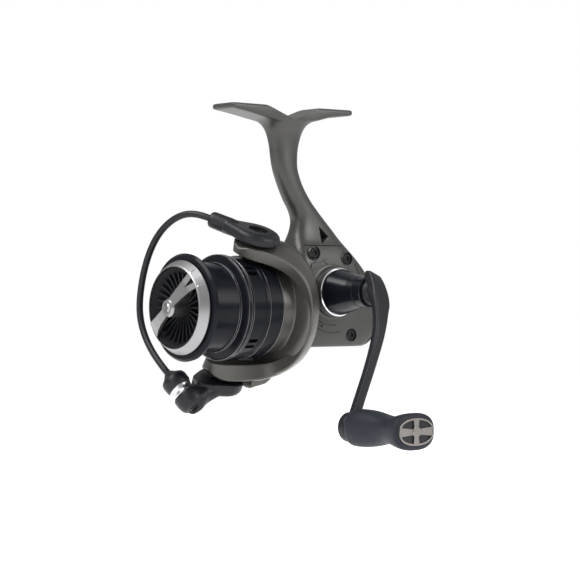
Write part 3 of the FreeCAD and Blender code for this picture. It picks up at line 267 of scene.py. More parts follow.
OLIVE = material("olive_metallic", (0.072, 0.069, 0.063), rough=0.33, metal=0.55, spots=0.35,
                 spot_colour=(0.17, 0.165, 0.15), grain=2600, bump=0.05, wear=0.25)
BODY = material("olive_body", (0.046, 0.045, 0.043), rough=0.38, metal=0.45, spots=0.3,
                spot_colour=(0.12, 0.12, 0.11), grain=2600, bump=0.05, wear=0.2)
BLACK = material("black_gloss", (0.005, 0.006, 0.009), rough=0.24, grain=1500, bump=0.02,
                 coat=0.05, shine=0.22)
SATIN = material("black_satin", (0.0075, 0.008, 0.0105), rough=0.42, grain=2200, bump=0.12, wear=0.3,
                 shine=0.25)
MATT = material("black_matt", (0.007, 0.0075, 0.009), rough=0.5, grain=2200, bump=0.1, shine=0.12)
RUBBER = material("slate_rubber", (0.010, 0.012, 0.0185), rough=0.55, grain=1800, bump=0.25, wear=0.2,
                  shine=0.22)
SPOOL_BLACK = material("black_anodised", (0.0055, 0.006, 0.009), rough=0.22, grain=1500, bump=0.02, shine=0.1)
BADGE = material("warm_silver", (0.22, 0.205, 0.195), rough=0.36, metal=1.0, grain=900, bump=0.05)
SILVER = material("brushed_silver", (0.27, 0.27, 0.275), rough=0.38, metal=1.0, grain=700, bump=0.12,
                  brushed=(1.0, 12.0, 1.0))
BRIGHT = material("polished_ring", (0.86, 0.86, 0.88), rough=0.12, metal=1.0, grain=900, bump=0.02)
STEEL = material("turned_steel", (0.5, 0.5, 0.52), rough=0.28, metal=1.0, grain=900, bump=0.08,
                 brushed=(10.0, 1.0, 1.0))
DARK_SCREW = material("black_oxide", (0.02, 0.02, 0.022), rough=0.3, metal=0.8, grain=1500, bump=0.05,
                      wear=0.3)
BRASS = material("machined_brass", (0.62, 0.42, 0.16), rough=0.28, metal=1.0, grain=800, bump=0.08)
ZINC = material("cast_zinc", (0.42, 0.42, 0.43), rough=0.45, metal=1.0, grain=1200, bump=0.2)
PLASTIC = material("acetal", (0.7, 0.7, 0.66), rough=0.4, grain=1500, bump=0.05)
FELT = material("carbon_fibre_felt", (0.05, 0.05, 0.05), rough=0.8, grain=2500, bump=0.5)

BY_NODE = {
    "body_frame": BODY, "side_plate": BODY, "rear_cover": BODY, "rotor": OLIVE, "bail_arm_cover": OLIVE,
    "bail_holder": SATIN, "bail_lever": SATIN, "bail_wire": SATIN, "roller_cap": SATIN,
    "line_roller": BRIGHT, "spool": SPOOL_BLACK, "drag_knob": MATT,
    "drag_knob_trim": SILVER, "drag_knob_screw": SILVER, "handle_collar": BLACK, "collar_ring": BRIGHT,
    "handle_arm": SATIN, "handle_knob": RUBBER, "knob_cap": SILVER, "shaft_cap": SATIN,
    "side_plate_screws": DARK_SCREW, "rear_cover_screw": DARK_SCREW, "bail_pivot_screws": DARK_SCREW,
    "roller_screw": DARK_SCREW, "pinion_gear": BRASS, "rotor_nut": BRASS, "pinion_bush": BRASS,
    "drive_gear": ZINC, "oscillation_pinion": ZINC, "crosshead_slider": ZINC, "oscillation_gear": PLASTIC,
    "spool_shim": PLASTIC, "roller_bush": PLASTIC, "spool_clicker": PLASTIC, "drag_washers": FELT,
    "line_clip": SATIN, "anti_reverse_clutch": SATIN,
}
for node, obj in NODES.items():
    shade(obj, BY_NODE.get(node, STEEL))


# ------------------------------------------------------------ shared building steps
def bake(obj):
    """Turn an object's modifiers into plain mesh."""
    deps = bpy.context.evaluated_depsgraph_get()
    mesh = bpy.data.meshes.new_from_object(obj.evaluated_get(deps))
    obj.modifiers.clear()
    obj.data = mesh
    return obj


def twin(obj):
    """Second object with a mesh of its own."""
    made = obj.copy()
    made.data = obj.data.copy()
    bpy.context.collection.objects.link(made)
    return made


def merge(name, objs):
    """One object out of several."""
    bm = bmesh.new()
    for obj in objs:
        bm.from_mesh(obj.data)
        bpy.data.objects.remove(obj)
    mesh = bpy.data.meshes.new(name)
    bm.to_mesh(mesh)
    bm.free()
    return add_object(name, mesh)


def melt(obj, voxel, rounds):
    """Fuse overlapping shapes into one cast surface with soft fillets."""
    mod = obj.modifiers.new("fuse", "REMESH")
    mod.mode = "VOXEL"
    mod.voxel_size = voxel * MM
    mod.use_smooth_shade = True
    mod = obj.modifiers.new("soften", "SMOOTH")
    mod.factor = 0.5
    mod.iterations = rounds
    return bake(obj)


def carve(obj, cutters, operation="DIFFERENCE"):
    """Cut shapes out of an object, or keep only what is inside them."""
    for cutter in cutters:
        mod = obj.modifiers.new("carve", "BOOLEAN")
        mod.operation = operation
        mod.solver = "EXACT"
        mod.object = cutter
    bake(obj)
    for cutter in cutters:
        bpy.data.objects.remove(cutter)
    obj.data.set_sharp_from_angle(angle=math.radians(CAST_ANGLE))
    return obj


def crisp(obj, width):
    """Sharp edges of a small turned or cut part, marked again after merging, then rounded."""
    obj.data.set_sharp_from_angle(angle=math.radians(TURNED_ANGLE))
    return soften(obj, width)


def prism(name, outline, low, high, plane="XZ", place=NONE):
    """Straight extrusion of an outline; plane is XZ or XY, the outline's two axes."""
    loops = []
    for level in (low, high):
        loops.append([(a, b, level) if plane == "XY" else (a, level, b) for a, b in outline])
    return skin(name, loops, place)


def arc_outline(r0, r1, start, end, centre, steps=24):
    """Outline of a curved bar; angles in degrees."""
    points = []
    for r, order in ((r0, range(steps + 1)), (r1, range(steps, -1, -1))):
        for i in order:
            a = math.radians(start + (end - start) * i / steps)
            points.append((centre[0] + r * math.cos(a), centre[1] + r * math.sin(a)))
    return points


def disc_outline(radius, steps, centre):
    """Outline of a round well, closed by one very short edge."""
    return arc_outline(0.0, radius, 0, 359.9, centre, steps)[steps + 1:]


def line_outline(x0, y0, x1, y1, width):
    """Outline of a straight bar between two points."""
    length = math.hypot(x1 - x0, y1 - y0)
    nx, ny = -(y1 - y0) / length * width / 2, (x1 - x0) / length * width / 2
    return [(x0 + nx, y0 + ny), (x1 + nx, y1 + ny), (x1 - nx, y1 - ny), (x0 - nx, y0 - ny)]


def finish_piece(obj, body, slot, surface, *stands_for):
    """Colour a piece, tie it to its body and hide the nodes that it replaces."""
    shade(obj, surface)
    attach(obj, body)
    if stands_for:
        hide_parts(*stands_for)
    return obj


# ------------------------------------------------------------ body: foot, stem and housing in one casting
# height, front, rear, half width, squareness
BODY_ROWS = [
    (-2.4, 20.0, -18.0, 6.7, 5.0), (-4.0, 18.0, -16.0, 6.6, 5.0), (-5.4, 13.2, -13.0, 6.3, 4.0),
    (-7.0, 10.2, -10.2, 5.6, 3.2), (-9.2, 8.6, -8.6, 4.8, 2.8), (-12, 7.6, -7.5, 4.3, 2.5),
    (-16, 6.7, -6.5, 4.0, 2.3), (-20, 6.1, -6.0, 3.9, 2.3), (-25, 5.0, -6.2, 3.9, 2.3),
    (-31, 2.6, -8.5, 4.0, 2.3), (-37, -0.5, -12.5, 4.1, 2.4), (-41, -3.2, -16.0, 4.3, 2.5),
    (-45, -4.8, -19.8, 4.6, 2.7), (-49, -4.5, -23.6, 5.2, 3.0), (-53, -3.5, -26.6, 6.3, 3.8),
    (-56, -2.7, -28.7, 7.8, 4.8), (-59, -2.2, -30.9, 8.9, 6.2), (-63, -2.0, -34.2, 9.6, 8),
    (-67, -2.0, -37.6, 9.75, 9), (-71, -2.0, -41.0, 9.75, 9), (-76, -2.0, -44.6, 9.75, 9),
    (-80.5, -2.0, -47.2, 9.75, 9), (-84.5, -2.0, -46.9, 9.75, 9), (-89, -2.0, -44.6, 9.7, 8),
    (-93.0, -2.2, -41.4, 9.4, 7), (-95.2, -3.0, -39.0, 8.7, 6), (-96.1, -4.4, -37.2, 7.8, 5)]
# along the foot: top, bottom, half width
FOOT_ROWS = [
    (-31.0, -0.5, -1.9, 6.2), (-30.6, -0.15, -2.3, 6.7), (-29.8, -0.02, -2.5, 7.0), (-24, -0.02, -3.2, 7.0),
    (-18.4, -0.02, -4.0, 7.0), (-12.4, -0.02, -5.5, 6.9), (-6, -0.02, -6.3, 6.7), (6, -0.02, -6.3, 6.7),
    (11.6, -0.02, -5.7, 6.9), (20.5, -0.02, -4.0, 7.0), (29.8, -0.02, -2.5, 7.0), (30.6, -0.15, -2.3, 6.7),
    (31.0, -0.5, -1.9, 6.2)]


def casting():
    """Foot, stem and housing melted into one solid, with a shallow vee across the foot's top."""
    trunk = skin("trunk", [oval(((f + r) / 2, 0, z), (1, 0, 0), (0, 1, 0), (f - r) / 2, w, p, count=72)
                           for z, f, r, w, p in smooth_path(BODY_ROWS, 4)])
    foot = skin("foot", [oval((x, 0, (t + b) / 2), (0, 1, 0), (0, 0, 1), w, (t - b) / 2, 7, count=48)
                         for x, t, b, w in smooth_path(FOOT_ROWS, 4)])
    cast = melt(merge("casting", [trunk, foot]), 0.42, 7)
    vee = [(14.9, 0.1), (-0.3, -5.35), (-14.9, 0.1), (-14.9, 6), (14.9, 6)]
    return carve(cast, [prism("vee", vee, -12, 12)])


CHEVRON_R = 12.9
SCREW_PLACES = ((-8.2, -58.5), (-25.4, -60.6), (-27.6, -91.4))


def side_grooves():
    """Panel lines, arcs and chevrons pressed into the handle side."""
    cx, cz = CRANK.x, CRANK.z
    low, high = 9.2, 12
    shapes = []
    for r0, r1, start, end in ((13.2, 13.55, 262, 318), (16.2, 16.5, 255, 300), (13.2, 13.55, 60, 84),
                               (16.2, 16.5, 70, 84)):
        shapes.append(arc_outline(r0, r1, start, end, (cx, cz)))
    shapes.append(line_outline(-12.2, -60.4, -15.2, -63.6, 0.4))
    shapes.append(line_outline(-29.4, -62.6, -32.6, -68.4, 0.4))
    chevron = [(-2.6, 0.9), (0, 2.0), (2.6, 0.9), (2.6, 1.7), (0, 2.8), (-2.6, 1.7)]
    for angle in (47, 300):
        a = math.radians(angle)
        c, s = math.cos(a - math.pi / 2), math.sin(a - math.pi / 2)
        ox, oz = cx + CHEVRON_R * math.cos(a), cz + CHEVRON_R * math.sin(a)
        shapes.append([(ox + x * c - y * s, oz + x * s + y * c) for x, y in chevron])
    return [prism("groove", shape, low, high) for shape in shapes]


def rear_cover(cast):
    """Part of the casting behind the rear seam."""
    room = prism("room", [(-60, -80.0), (-44.75, -80.0), (-43.35, -86.7), (-40.5, -91.4), (-37.6, -94.6),
                          (-37.1, -110), (-60, -110)], -8.0, 20)
    carve(cast, [room], "INTERSECT")
    cast.name = "rear_cover_shell"
    finish_piece(cast, "frame", "dark_metal", BODY, "rear_cover")


def body_shell(cast):
    """Casting without the side plate and the rear cover, and with the small pocket in its stem."""
    plate_cut = prism("cut", [(-60, -55.2), (6, -55.2), (6, -110), (-60, -110)], 6.2, 20)
    rear_cut = prism("cut", [(-60, -79.7), (-44.4, -79.7), (-43.0, -86.6), (-40.2, -91.2), (-37.4, -94.4),
                             (-36.8, -110), (-60, -110)], -8.2, 20)
    pocket = prism("cut", [(-14.3, -47.4), (-18.6, -51.6), (-14.3, -54.6)], 2.2, 12)
    carve(cast, [plate_cut, rear_cut, pocket])
    cast.name = "body_shell"
    finish_piece(cast, "frame", "dark_metal", BODY, "body_frame")


def side_plate(cast):
    """Part of the casting on the handle side, with screw wells and pressed lines."""
    keep = prism("keep", [(-60, -55.55), (6, -55.55), (6, -110), (-60, -110)], 6.45, 20)
    carve(cast, [keep], "INTERSECT")
    rear_cut = prism("cut", [(-60, -79.5), (-44.1, -79.5), (-42.7, -86.6), (-39.9, -91.2), (-37.1, -94.1),
                             (-36.5, -110), (-60, -110)], -9, 20)
    wells = [prism("well", disc_outline(2.6, 40, place), 8.4, 12) for place in SCREW_PLACES]
    carve(cast, [rear_cut] + wells + side_grooves())
    cast.name = "side_plate_shell"
    finish_piece(cast, "frame", "dark_metal", BODY, "side_plate")


def side_screws():
    """Screw heads and the rims round their wells."""
    heads = []
    rims = []
    for x, z in SCREW_PLACES:
        spot = Matrix.Translation((x, 0, z))
        heads.append(lathe("head", [(6.5, 0.0), (6.5, 1.5), (8.3, 1.5), (8.3, 2.15), (9.3, 2.1), (9.55, 1.8),
                                    (9.55, 1.15), (8.9, 1.1), (8.9, 0.0)], spot, "Y", count=48))
        rims.append(lathe("rim", [(8.4, 2.6), (8.4, 2.95), (9.6, 2.9), (9.8, 2.8), (9.8, 2.62)], spot, "Y",
                          count=48))
    screws = crisp(merge("plate_screws", heads), 0.08)
    finish_piece(screws, "frame", "steel", DARK_SCREW, "side_plate_screws")
    finish_piece(crisp(merge("plate_screw_rims", rims), 0.08), "frame", "dark_metal", BODY)


def body_pieces():
    """Casting split into its three parts, with screws, handle boss and front collar."""
    cast = casting()
    plate = twin(cast)
    rear_cover(twin(cast))
    body_shell(cast)
    side_plate(plate)
    side_screws()
    boss = lathe("side_plate_boss", [(8.8, 3.7), (8.8, 11.4), (9.9, 11.2), (10.3, 10.2), (11.7, 9.9),
                                     (11.95, 9.6), (11.95, 3.7)], SIDE, "Y", bevel=0.15)
    finish_piece(boss, "frame", "dark_metal", BODY)
    nose = lathe("body_nose", [(-3, 5.1), (-3, 18.6), (1.6, 18.9), (2.3, 18.2), (2.35, 5.1)], SPOOL,
                 bevel=0.2)
    finish_piece(nose, "frame", "dark_metal", BODY)


# ------------------------------------------------------------ rotor
def edge_curve():
    """Front edge of the rotor shell: (angle from an arm's middle in degrees, distance forward)."""
    half = [(31.2, 0.0), (30.9, 2.2), (29.8, 4.6), (27.4, 7.1), (24, 9.0), (20, 11.1), (16, 13.8),
            (12.9, 17.0), (10.5, 20.7), (8.9, 24.2), (8.3, 26.6)]
    rows = []
    for x, w in smooth_path(half, 5):
        rows.append((math.degrees(math.asin(min(1.0, w / ARM_R))), x))
    return [row for row in rows if row[0] < 76] + [(83, 8.1), (90, 8.05)]


def shell_radius(x):
    """Outer radius of the rotor shell at a distance forward."""
    rows = [(2.7, 25.3), (4.2, 26.0), (6.2, 26.9), (9, 27.8), (13, 28.0), (26.5, 28.0), (29, 27.4),
            (30.5, 26.4), (31.3, 24.8)]
    for (xa, ra), (xb, rb) in zip(rows, rows[1:]):
        if x <= xb:
            return ra + (rb - ra) * max(0.0, (x - xa) / (xb - xa))
    return rows[-1][1]


def rotor_shell():
    """Rear rim and both arms in one wall, its front edge following the edge curve."""
    curve = edge_curve()
    ring = list(curve)
    ring += [(180 - a, x) for a, x in reversed(curve[:-1])]
    ring += [(180 + a, x) for a, x in curve[1:]]
    ring += [(360 - a, x) for a, x in reversed(curve[1:-1])]
    loops = []
    for angle, reach in ring:
        a = math.radians(angle)
        # the lower arm stands out further to carry the bail lever
        low_side = max(0.0, 1.0 - abs(angle - 180) / 42) ** 0.5
        rows = [(2.75, 22.7), (2.75, 25.0), (3.1, 25.5)]
        for k in range(1, 9):
            x = 3.1 + (reach - 3.1) * k / 8
            rows.append((x, shell_radius(x) + 1.7 * low_side * min(1.0, max(0.0, (x - 7) / 7))))
        rows += [(reach, 22.5), (reach * 0.5 + 3.0, 22.5), (5.6, 22.6)]
        loops.append([(x, r * math.sin(a), r * math.cos(a)) for x, r in rows])
    loops.append(loops[0])
    shell = skin("rotor_shell", loops, ROTOR, closed=False, smooth=38)
    soften(shell, 0.75, 3, 38)
    finish_piece(shell, "rotor_group", "dark_metal", OLIVE, "rotor")


def rotor_cup():
    """Cone behind the spool and the drum that goes into its skirt."""
    cup = lathe("rotor_cup", [
        (3.5, 22.4), (3.5, 25.2), (6.5, 26.6), (7.75, 26.9), (8.2, 26.6), (8.8, 25.2), (9.15, 23.4),
        (9.3, 21.4), (9.3, 18.9), (10.0, 18.4), (18.6, 18.4), (19.7, 17.3), (19.75, 2.6), (17.6, 2.6),
        (17.6, 16.6), (8.0, 16.9), (6.2, 22.4)], ROTOR, smooth=40, bevel=0.2)
    finish_piece(cup, "rotor_group", "dark_metal", OLIVE)


def arm_cover():
    """Raised cover on the lower arm, squarish across and rising forwards."""
    loops = []
    for x, top in smooth_path([(4.6, 28.0), (6.0, 29.6), (8.0, 31.0), (10.3, 32.1), (12.2, 32.8),
                               (13.1, 33.0), (13.5, 32.6)], 4):
        spread = 20 - 4 * min(1.0, max(0.0, (x - 8) / 3))
        rim = []
        for k in range(25):
            share = -1 + k / 12
            a = math.radians(180 + spread * share)
            r = ARM_R + (top - ARM_R) * (1 - abs(share) ** 6) ** (1 / 6)
            rim.append((x, r * math.sin(a), r * math.cos(a)))
        for share in (1, -1):
            a = math.radians(180 + (spread - 0.5) * share)
            rim.append((x, COVER_FOOT_R * math.sin(a), COVER_FOOT_R * math.cos(a)))
        loops.append(rim)
    cover = skin("arm_cover_shell", loops, ROTOR, smooth=38)
    finish_piece(soften(cover, 0.35, 3, 38), "rotor_group", "dark_metal", OLIVE, "bail_arm_cover")


# ------------------------------------------------------------ bail
def block(name, outline, low, high, place):
    """Rounded block on a plan outline, domed on its outer face."""
    cx = sum(p[0] for p in outline) / len(outline)
    cy = sum(p[1] for p in outline) / len(outline)
    loops = []
    for up, size in ((0.0, 0.97), (0.10, 1.0), (0.5, 1.0), (0.7, 0.975), (0.86, 0.92), (0.96, 0.84),
                     (1.0, 0.74), (1.02, 0.35)):
        level = low + (high - low) * up
        loops.append([(cx + (x - cx) * size, cy + (y - cy) * size, level) for x, y in outline])
    return skin(name, loops, place, smooth=50)


def two_circles(x1, y1, r1, x2, y2, r2, steps=18):
    """Outline of two circles joined by their outer tangents."""
    gap = math.hypot(x2 - x1, y2 - y1)
    heading = math.atan2(y2 - y1, x2 - x1)
    spread = math.acos((r1 - r2) / gap)
    points = []
    for i in range(steps + 1):
        a = heading - spread + 2 * spread * i / steps
        points.append((x2 + r2 * math.cos(a), y2 + r2 * math.sin(a)))
    for i in range(steps + 1):
        a = heading + spread + (2 * math.pi - 2 * spread) * i / steps
        points.append((x1 + r1 * math.cos(a), y1 + r1 * math.sin(a)))
    return points


# height along the pivot axis, distance from it, angle from straight ahead
WIRE = [(30.4, 17.4, 58.0), (30.7, 21.5, 58.0), (30.3, 27.0, 59.0), (27.6, 33.4, 61.0), (18.7, 40.6, 62.0),
        (4.7, 43.5, 62.0), (-10.5, 42.0, 60.5), (-18.7, 38.4, 56.5), (-24.6, 32.4, 48.0), (-28.2, 26.6, 35.0)]


def wire_path():
    """Bail wire's route from the holder round to the line roller, in the rotor's frame."""
    points = []
    for high, reach, angle in WIRE:
        a = math.radians(angle)
        points.append((PIVOT_X + reach * math.cos(a), -reach * math.sin(a), high))
    points.append(tuple(ROLLER_AT - ROLLER_AXIS * 10.6))
    points.append(tuple(ROLLER_AT - ROLLER_AXIS * 7.0))
    path = [Vector(p) for p in smooth_path(points, 10)]
    for _ in range(50):
        path = path[:1] + [(a + 2 * b + c) / 4 for a, b, c in zip(path, path[1:], path[2:])] + path[-1:]
    return path


def on_roller(profile, name, count=96, **more):
    """Lathe about the line roller's axis."""
    turn = Vector((1, 0, 0)).rotation_difference(ROLLER_AXIS).to_matrix().to_4x4()
    return lathe(name, profile, ROTOR @ Matrix.Translation(ROLLER_AT) @ turn, count=count, **more)


def bail_wire(path):
    """Round wire of the bail, bent along its route."""
    wire = tube("bail_wire_round", path, WIRE_R, ROTOR, count=28, smooth=60)
    finish_piece(wire, "bail", "black_gloss", SATIN, "bail_wire")


def bail_holder(path):
    """Upper holder: a block round the pivot and a sleeve round the wire's end."""
    plate = block("holder_block", two_circles(PIVOT_X, 0, 9.3, 28.8, -9.0, 4.0), 28.3, 32.7, ROTOR)
    start = path[0]
    along = (path[12] - start).normalized()
    rows = [(-9.4, 2.4), (-8.6, 3.2), (-6, 3.4), (1.0, 3.3), (2.0, 3.15), (2.7, 2.7), (2.9, 1.4)]
    sleeve = tube("sleeve", [start + along * a for a, r in rows], [r for a, r in rows], ROTOR, count=40)
    mould = melt(merge("holder_mould", [plate, sleeve]), 0.3, 4)
    well = prism("well", disc_outline(3.9, 48, (PIVOT_X, 0)), 30.9, 40, "XY", ROTOR)
    carve(mould, [well])
    mould.name = "bail_holder_shell"
    finish_piece(mould, "bail", "dark_metal", SATIN, "bail_holder")


def bail_lever():
    """Lower lever: a block round the pivot, a bent limb and the collar behind the line roller."""
    plate = block("lever_block", two_circles(PIVOT_X, 0, 9.2, 30.2, 1.6, 6.4), -29.9, -35.2, ROTOR)
    # centre along, across and up, then half width and half height
    rows = [(24, 1, -32.4, 6.4, 2.9), (29, 2.0, -33.3, 6.3, 3.6), (33.5, 3.1, -35.0, 5.6, 4.5),
            (36.6, 4.2, -36.8, 5.6, 5.0), (38.8, 4.9, -38.0, 4.6, 4.9)]
    limb = skin("lever_limb", [oval((x, t, h), (0, 1, 0), (0, 0, 1), wide, high, 2.3, count=48)
                               for x, t, h, wide, high in smooth_path(rows, 5)], ROTOR)
    collar = on_roller([(1.6, 0.0), (1.6, 5.1), (2.3, 5.6), (4.6, 5.75), (6.6, 5.5), (7.8, 4.9),
                        (8.4, 4.0), (8.5, 0.0)], "collar")
    mould = melt(merge("lever_mould", [plate, limb, collar]), 0.28, 3)
    well = prism("well", disc_outline(4.0, 48, (PIVOT_X, 0)), -42, -33.6, "XY", ROTOR)
    room = on_roller([(-9, 0.0), (-9, 6.6), (1.65, 6.6), (1.65, 0.0)], "room", count=64)
    carve(mould, [well, room])
    mould.name = "bail_lever_shell"
    finish_piece(mould, "bail", "black_satin", SATIN, "bail_lever")


def line_roller():
    """Cap at the wire's end and the grooved drum between it and the lever's collar."""
    cap = on_roller([(-1.65, 1.4), (-1.65, 4.95), (-2.2, 5.3), (-5.0, 5.35), (-6.2, 4.95), (-6.9, 4.1),
                     (-7.6, 3.0), (-8.6, 2.1), (-9.2, 1.4)], "roller_cap_shell", smooth=50)
    finish_piece(cap, "bail", "black_satin", SATIN, "roller_cap")
    drum = on_roller([(-1.6, 2.2), (-1.6, 4.75), (-1.2, 4.8), (-0.7, 4.55), (0, 4.45), (0.7, 4.55),
                      (1.2, 4.8), (1.6, 4.75), (1.6, 2.2)], "line_roller_drum", smooth=50)
    finish_piece(drum, "roller", "bright", STEEL, "line_roller")


def bail_screws():
    """Pivot bolts at both arms, which stay on the rotor, and the roller's own bolt."""
    upright = ROTOR @ Matrix.Translation((PIVOT_X, 0, 0)) @ Matrix.Rotation(math.radians(-90), 4, "Y")
    heads = []
    for side, top in ((1, 31.9), (-1, 34.6)):
        rows = [(3.4, 0.0), (3.4, 1.8), (1.0, 1.8), (1.0, 3.4), (0.3, 3.3), (0.0, 2.7), (0.0, 1.5),
                (0.6, 1.4), (0.6, 0.0)]
        heads.append(lathe("head", [(side * (top - depth), r) for depth, r in rows], upright, count=64))
    bolts = crisp(merge("bail_pivot_bolts", heads), 0.1)
    finish_piece(bolts, "rotor_group", "steel", DARK_SCREW, "bail_pivot_screws")
    bolt = on_roller([(7.3, 0.0), (7.3, 2.7), (8.6, 2.7), (8.95, 2.4), (8.95, 1.25), (8.3, 1.2),
                      (8.3, 0.0)], "roller_bolt", count=48, bevel=0.08)
    finish_piece(bolt, "bail", "steel", DARK_SCREW)


# ------------------------------------------------------------ spool: painted edge highlights
def spool_pieces():
    """Thin silver rings round the spool's edges, standing just proud of the black finish: painted highlights
    for the glints on those edges.
    """
    lines = []
    # painted highlight: each thin silver ring sits on an edge where the black spool catches the light
    for x, r, wide in ((16.15, 19.85, 0.2), (23.0, 20.27, 0.1), (31.15, 20.17, 0.12), (32.4, 20.67, 0.1),
                       (34.0, 20.67, 0.1), (35.4, 17.58, 0.14), (36.3, 17.58, 0.1)):
        profile = [(x, r - 0.6), (x, r + 0.05), (x + wide / 2, r + 0.09), (x + wide, r + 0.05),
                   (x + wide, r - 0.6)]
        lines.append(lathe("line", profile, SPOOL, count=192, smooth=40))
    rings = merge("spool_painted_highlight_rings", lines)
    finish_piece(rings, "spool_group", "silver", SILVER)


# ------------------------------------------------------------ handle
def handle_arm():
    """Cranked arm: a thin flat limb from the hub on the drive shaft to the knob's end."""
    # distance from the crank axis, sideways shift, level, half width, half thickness
    rows = [(-7.1, 2.0, 33.3, 2.9, 1.2), (-6.6, 1.9, 33.6, 3.3, 1.8), (-4, 1.2, 34.9, 3.8, 2.8),
            (0, 0.3, 37.2, 4.2, 3.0), (4, 0.0, 39.9, 4.3, 2.2), (8, 0.0, 42.0, 3.6, 1.65),
            (13, 0.0, 44.0, 2.9, 1.5), (19, 0.0, 45.3, 2.35, 1.6), (26, 0.0, 45.9, 2.0, 1.65),
            (34, 0.0, 46.1, 1.85, 1.65), (43, 0.0, 46.0, 1.85, 1.65), (51, 0.0, 46.0, 2.0, 1.65),
            (57, 0.0, 46.1, 2.4, 1.65)]
    loops = []
    for s, shift, y, wide, thick in smooth_path(rows, 5):
        loops.append(oval((shift, y, -s), (1, 0, 0), (0, 1, 0), wide, thick, 6.0, count=56))
    limb = skin("limb", loops, HANDLE)
    hub = lathe("hub", [(33.15, 0), (33.15, 5.0), (33.5, 5.2), (34.6, 5.0), (36.2, 3.6), (36.4, 0)],
                HANDLE, "Y", count=96)
    end = lathe("end", [(44.3, 0), (44.3, 5.2), (44.9, 5.7), (47.6, 5.7), (48.1, 5.2), (48.15, 0)],
                HANDLE @ Matrix.Translation((0, 0, -CRANK_RADIUS)), "Y", count=96)
    arm = melt(merge("handle_mould", [limb, hub, end]), 0.24, 1)
    arm.name = "handle_arm_shell"
    finish_piece(arm, "handle", "dark_metal", SATIN, "handle_arm")


def grip():
    """Rubber paddle, waisted in the middle."""
    # level, half width, half height, squareness
    rows = [(48.5, 5.5, 5.6, 2.2), (49.0, 6.2, 6.5, 2.3), (51, 6.7, 7.1, 2.4), (56, 6.7, 7.1, 2.5),
            (61, 6.4, 6.6, 2.5), (66, 6.2, 5.6, 2.5), (70, 6.7, 5.1, 2.6), (74, 8.1, 5.7, 2.6),
            (78, 9.5, 6.6, 2.6), (80.6, 10.0, 6.95, 2.6), (81.5, 9.8, 6.7, 2.6), (82, 9.2, 6.0, 2.6)]
    loops = [oval((0, y, 0), (1, 0, 0), (0, 0, 1), w, h, p, count=72)
             for y, w, h, p in smooth_path(rows, 5)]
    paddle = skin("grip_rubber", loops, GRIP, smooth=60)
    finish_piece(paddle, "grip", "rubber", RUBBER, "handle_knob")


def ring_of(name, wide, high, low, top, width, place):
    """Flat oval ring standing up from the knob's end face."""
    loops = []
    for w, level in ((0, low), (0, top - 0.1), (0.1, top), (width - 0.1, top), (width, top - 0.1),
                     (width, low)):
        loops.append(oval((0, level, 0), (1, 0, 0), (0, 0, 1), wide - w, high - w, 2.3, count=96))
    loops.append(loops[0])
    return skin(name, loops, place, closed=False)


def knob_cap():
    """Plain cross in an oval ring on the knob's end, over a dark floor."""
    parts = [ring_of("ring", 8.7, 5.1, 81.6, 82.7, 0.75, GRIP)]
    near = 0.9
    for angle, reach, far in ((0, 8.0, 1.7), (90, 4.4, 1.4)):
        a = math.radians(angle)
        outline = []
        for x, y in ((-reach, -far), (0, -near), (reach, -far), (reach, far), (0, near), (-reach, far)):
            outline.append((x * math.cos(a) - y * math.sin(a), x * math.sin(a) + y * math.cos(a)))
        parts.append(prism("spoke", outline, 82.0, 82.6, "XZ", GRIP))
    hub = lathe("hub", [(82.0, 0), (82.0, 2.1), (82.7, 2.1), (82.85, 1.9), (82.85, 0)], GRIP, "Y", count=48)
    badge = merge("knob_cap_badge", parts + [hub])
    badge.data.set_sharp_from_angle(angle=math.radians(TURNED_ANGLE))
    soften(badge, 0.08, angle=TURNED_ANGLE)
    finish_piece(badge, "grip", "silver", BADGE, "knob_cap")
    floor = skin("knob_cap_floor", [oval((0, y, 0), (1, 0, 0), (0, 0, 1), w, h, 2.3, count=72)
                                    for y, w, h in ((81.2, 8.1, 4.5), (82.05, 8.1, 4.5))], GRIP)
    finish_piece(floor, "grip", "silver", DARK_SCREW)


body_pieces()
rotor_shell()
rotor_cup()
arm_cover()
wire_route = wire_path()
bail_wire(wire_route)
bail_holder(wire_route)
bail_lever()
line_roller()
bail_screws()
spool_pieces()
handle_arm()
grip()
knob_cap()


# ------------------------------------------------------------ stage, light, camera
# metres
FLOOR_Z = -0.17
FLOOR_R = 1.6


def studio_surface(name, tone):
    """Matt, slightly glowing surface for the floor."""
    mat = bpy.data.materials.new(name)
    mat.use_nodes = True
    shader = mat.node_tree.nodes["Principled BSDF"]
    shader.inputs["Base Color"].default_value = (tone, tone, tone, 1)
    shader.inputs["Roughness"].default_value = 0.9
    shader.inputs["Emission Color"].default_value = (1, 1, 1, 1)
    shader.inputs["Emission Strength"].default_value = 0.55
    return mat


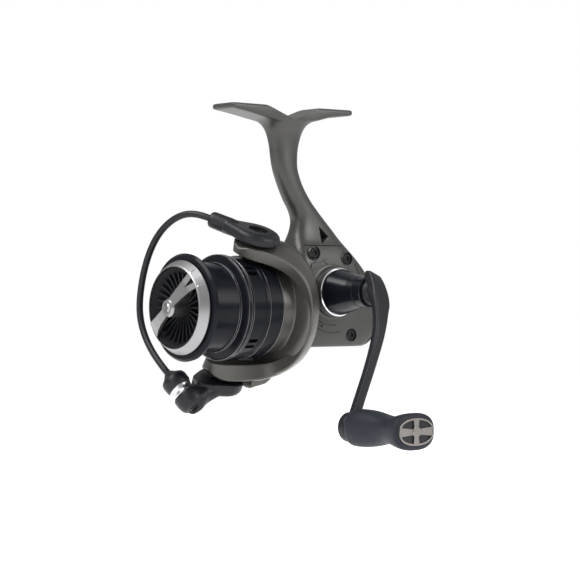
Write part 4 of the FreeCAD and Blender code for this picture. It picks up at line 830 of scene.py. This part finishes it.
def stage_floor():
    """Wide pale disc just under the reel's lowest point."""
    rim = []
    for step in range(72):
        a = 2 * math.pi * step / 72
        rim.append((FLOOR_R * math.cos(a), FLOOR_R * math.sin(a), FLOOR_Z))
    mesh = bpy.data.meshes.new("floor")
    mesh.from_pydata(rim, [], [tuple(range(len(rim)))])
    obj = add_object("floor", mesh)
    mesh.materials.append(studio_surface("floor_white", 0.9))


def studio_world():
    """White to the camera, softer as light."""
    world = bpy.data.worlds.new("studio")
    bpy.context.scene.world = world
    world.use_nodes = True
    tree = world.node_tree
    soft = tree.nodes["Background"]
    soft.inputs["Color"].default_value = (1, 1, 1, 1)
    soft.inputs["Strength"].default_value = 0.5
    white = tree.nodes.new("ShaderNodeBackground")
    white.inputs["Color"].default_value = (1, 1, 1, 1)
    white.inputs["Strength"].default_value = 1.0
    path = tree.nodes.new("ShaderNodeLightPath")
    mix = tree.nodes.new("ShaderNodeMixShader")
    tree.links.new(path.outputs["Is Camera Ray"], mix.inputs["Fac"])
    tree.links.new(soft.outputs["Background"], mix.inputs[1])
    tree.links.new(white.outputs["Background"], mix.inputs[2])
    tree.links.new(mix.outputs["Shader"], tree.nodes["World Output"].inputs["Surface"])


def lamp(name, where, look, size, power, size_y=None):
    """Rectangular area light; sizes in metres."""
    light = bpy.data.lights.new(name, "AREA")
    light.shape = "RECTANGLE"
    light.size = size
    light.size_y = size_y or size
    light.energy = power
    obj = add_object(name, light)
    obj.location = where
    obj.rotation_euler = (Vector(look) - Vector(where)).to_track_quat("-Z", "Y").to_euler()


stage_floor()
studio_world()
TARGET = (0, 0, -0.07)
lamp("key", (0.5, -0.1, 0.6), TARGET, 0.6, 9.0)
lamp("side", (-0.35, 0.75, 0.3), TARGET, 0.5, 5.0)
lamp("front", (0.85, 0.25, 0.0), TARGET, 0.25, 1.8, 0.8)
bpy.context.scene.view_settings.view_transform = "Standard"

# metres, and the direction of view
CAMERA_AT = (0.5433, 0.6537, -0.0732)
CAMERA_LOOKS = Vector((-0.64145, -0.76717, 0))
camera = bpy.data.cameras.new("camera")
camera.lens = 131.9
camera.sensor_width = 36
eye = add_object("camera", camera)
eye.location = CAMERA_AT
eye.rotation_euler = CAMERA_LOOKS.to_track_quat("-Z", "Y").to_euler()
bpy.context.scene.camera = eye
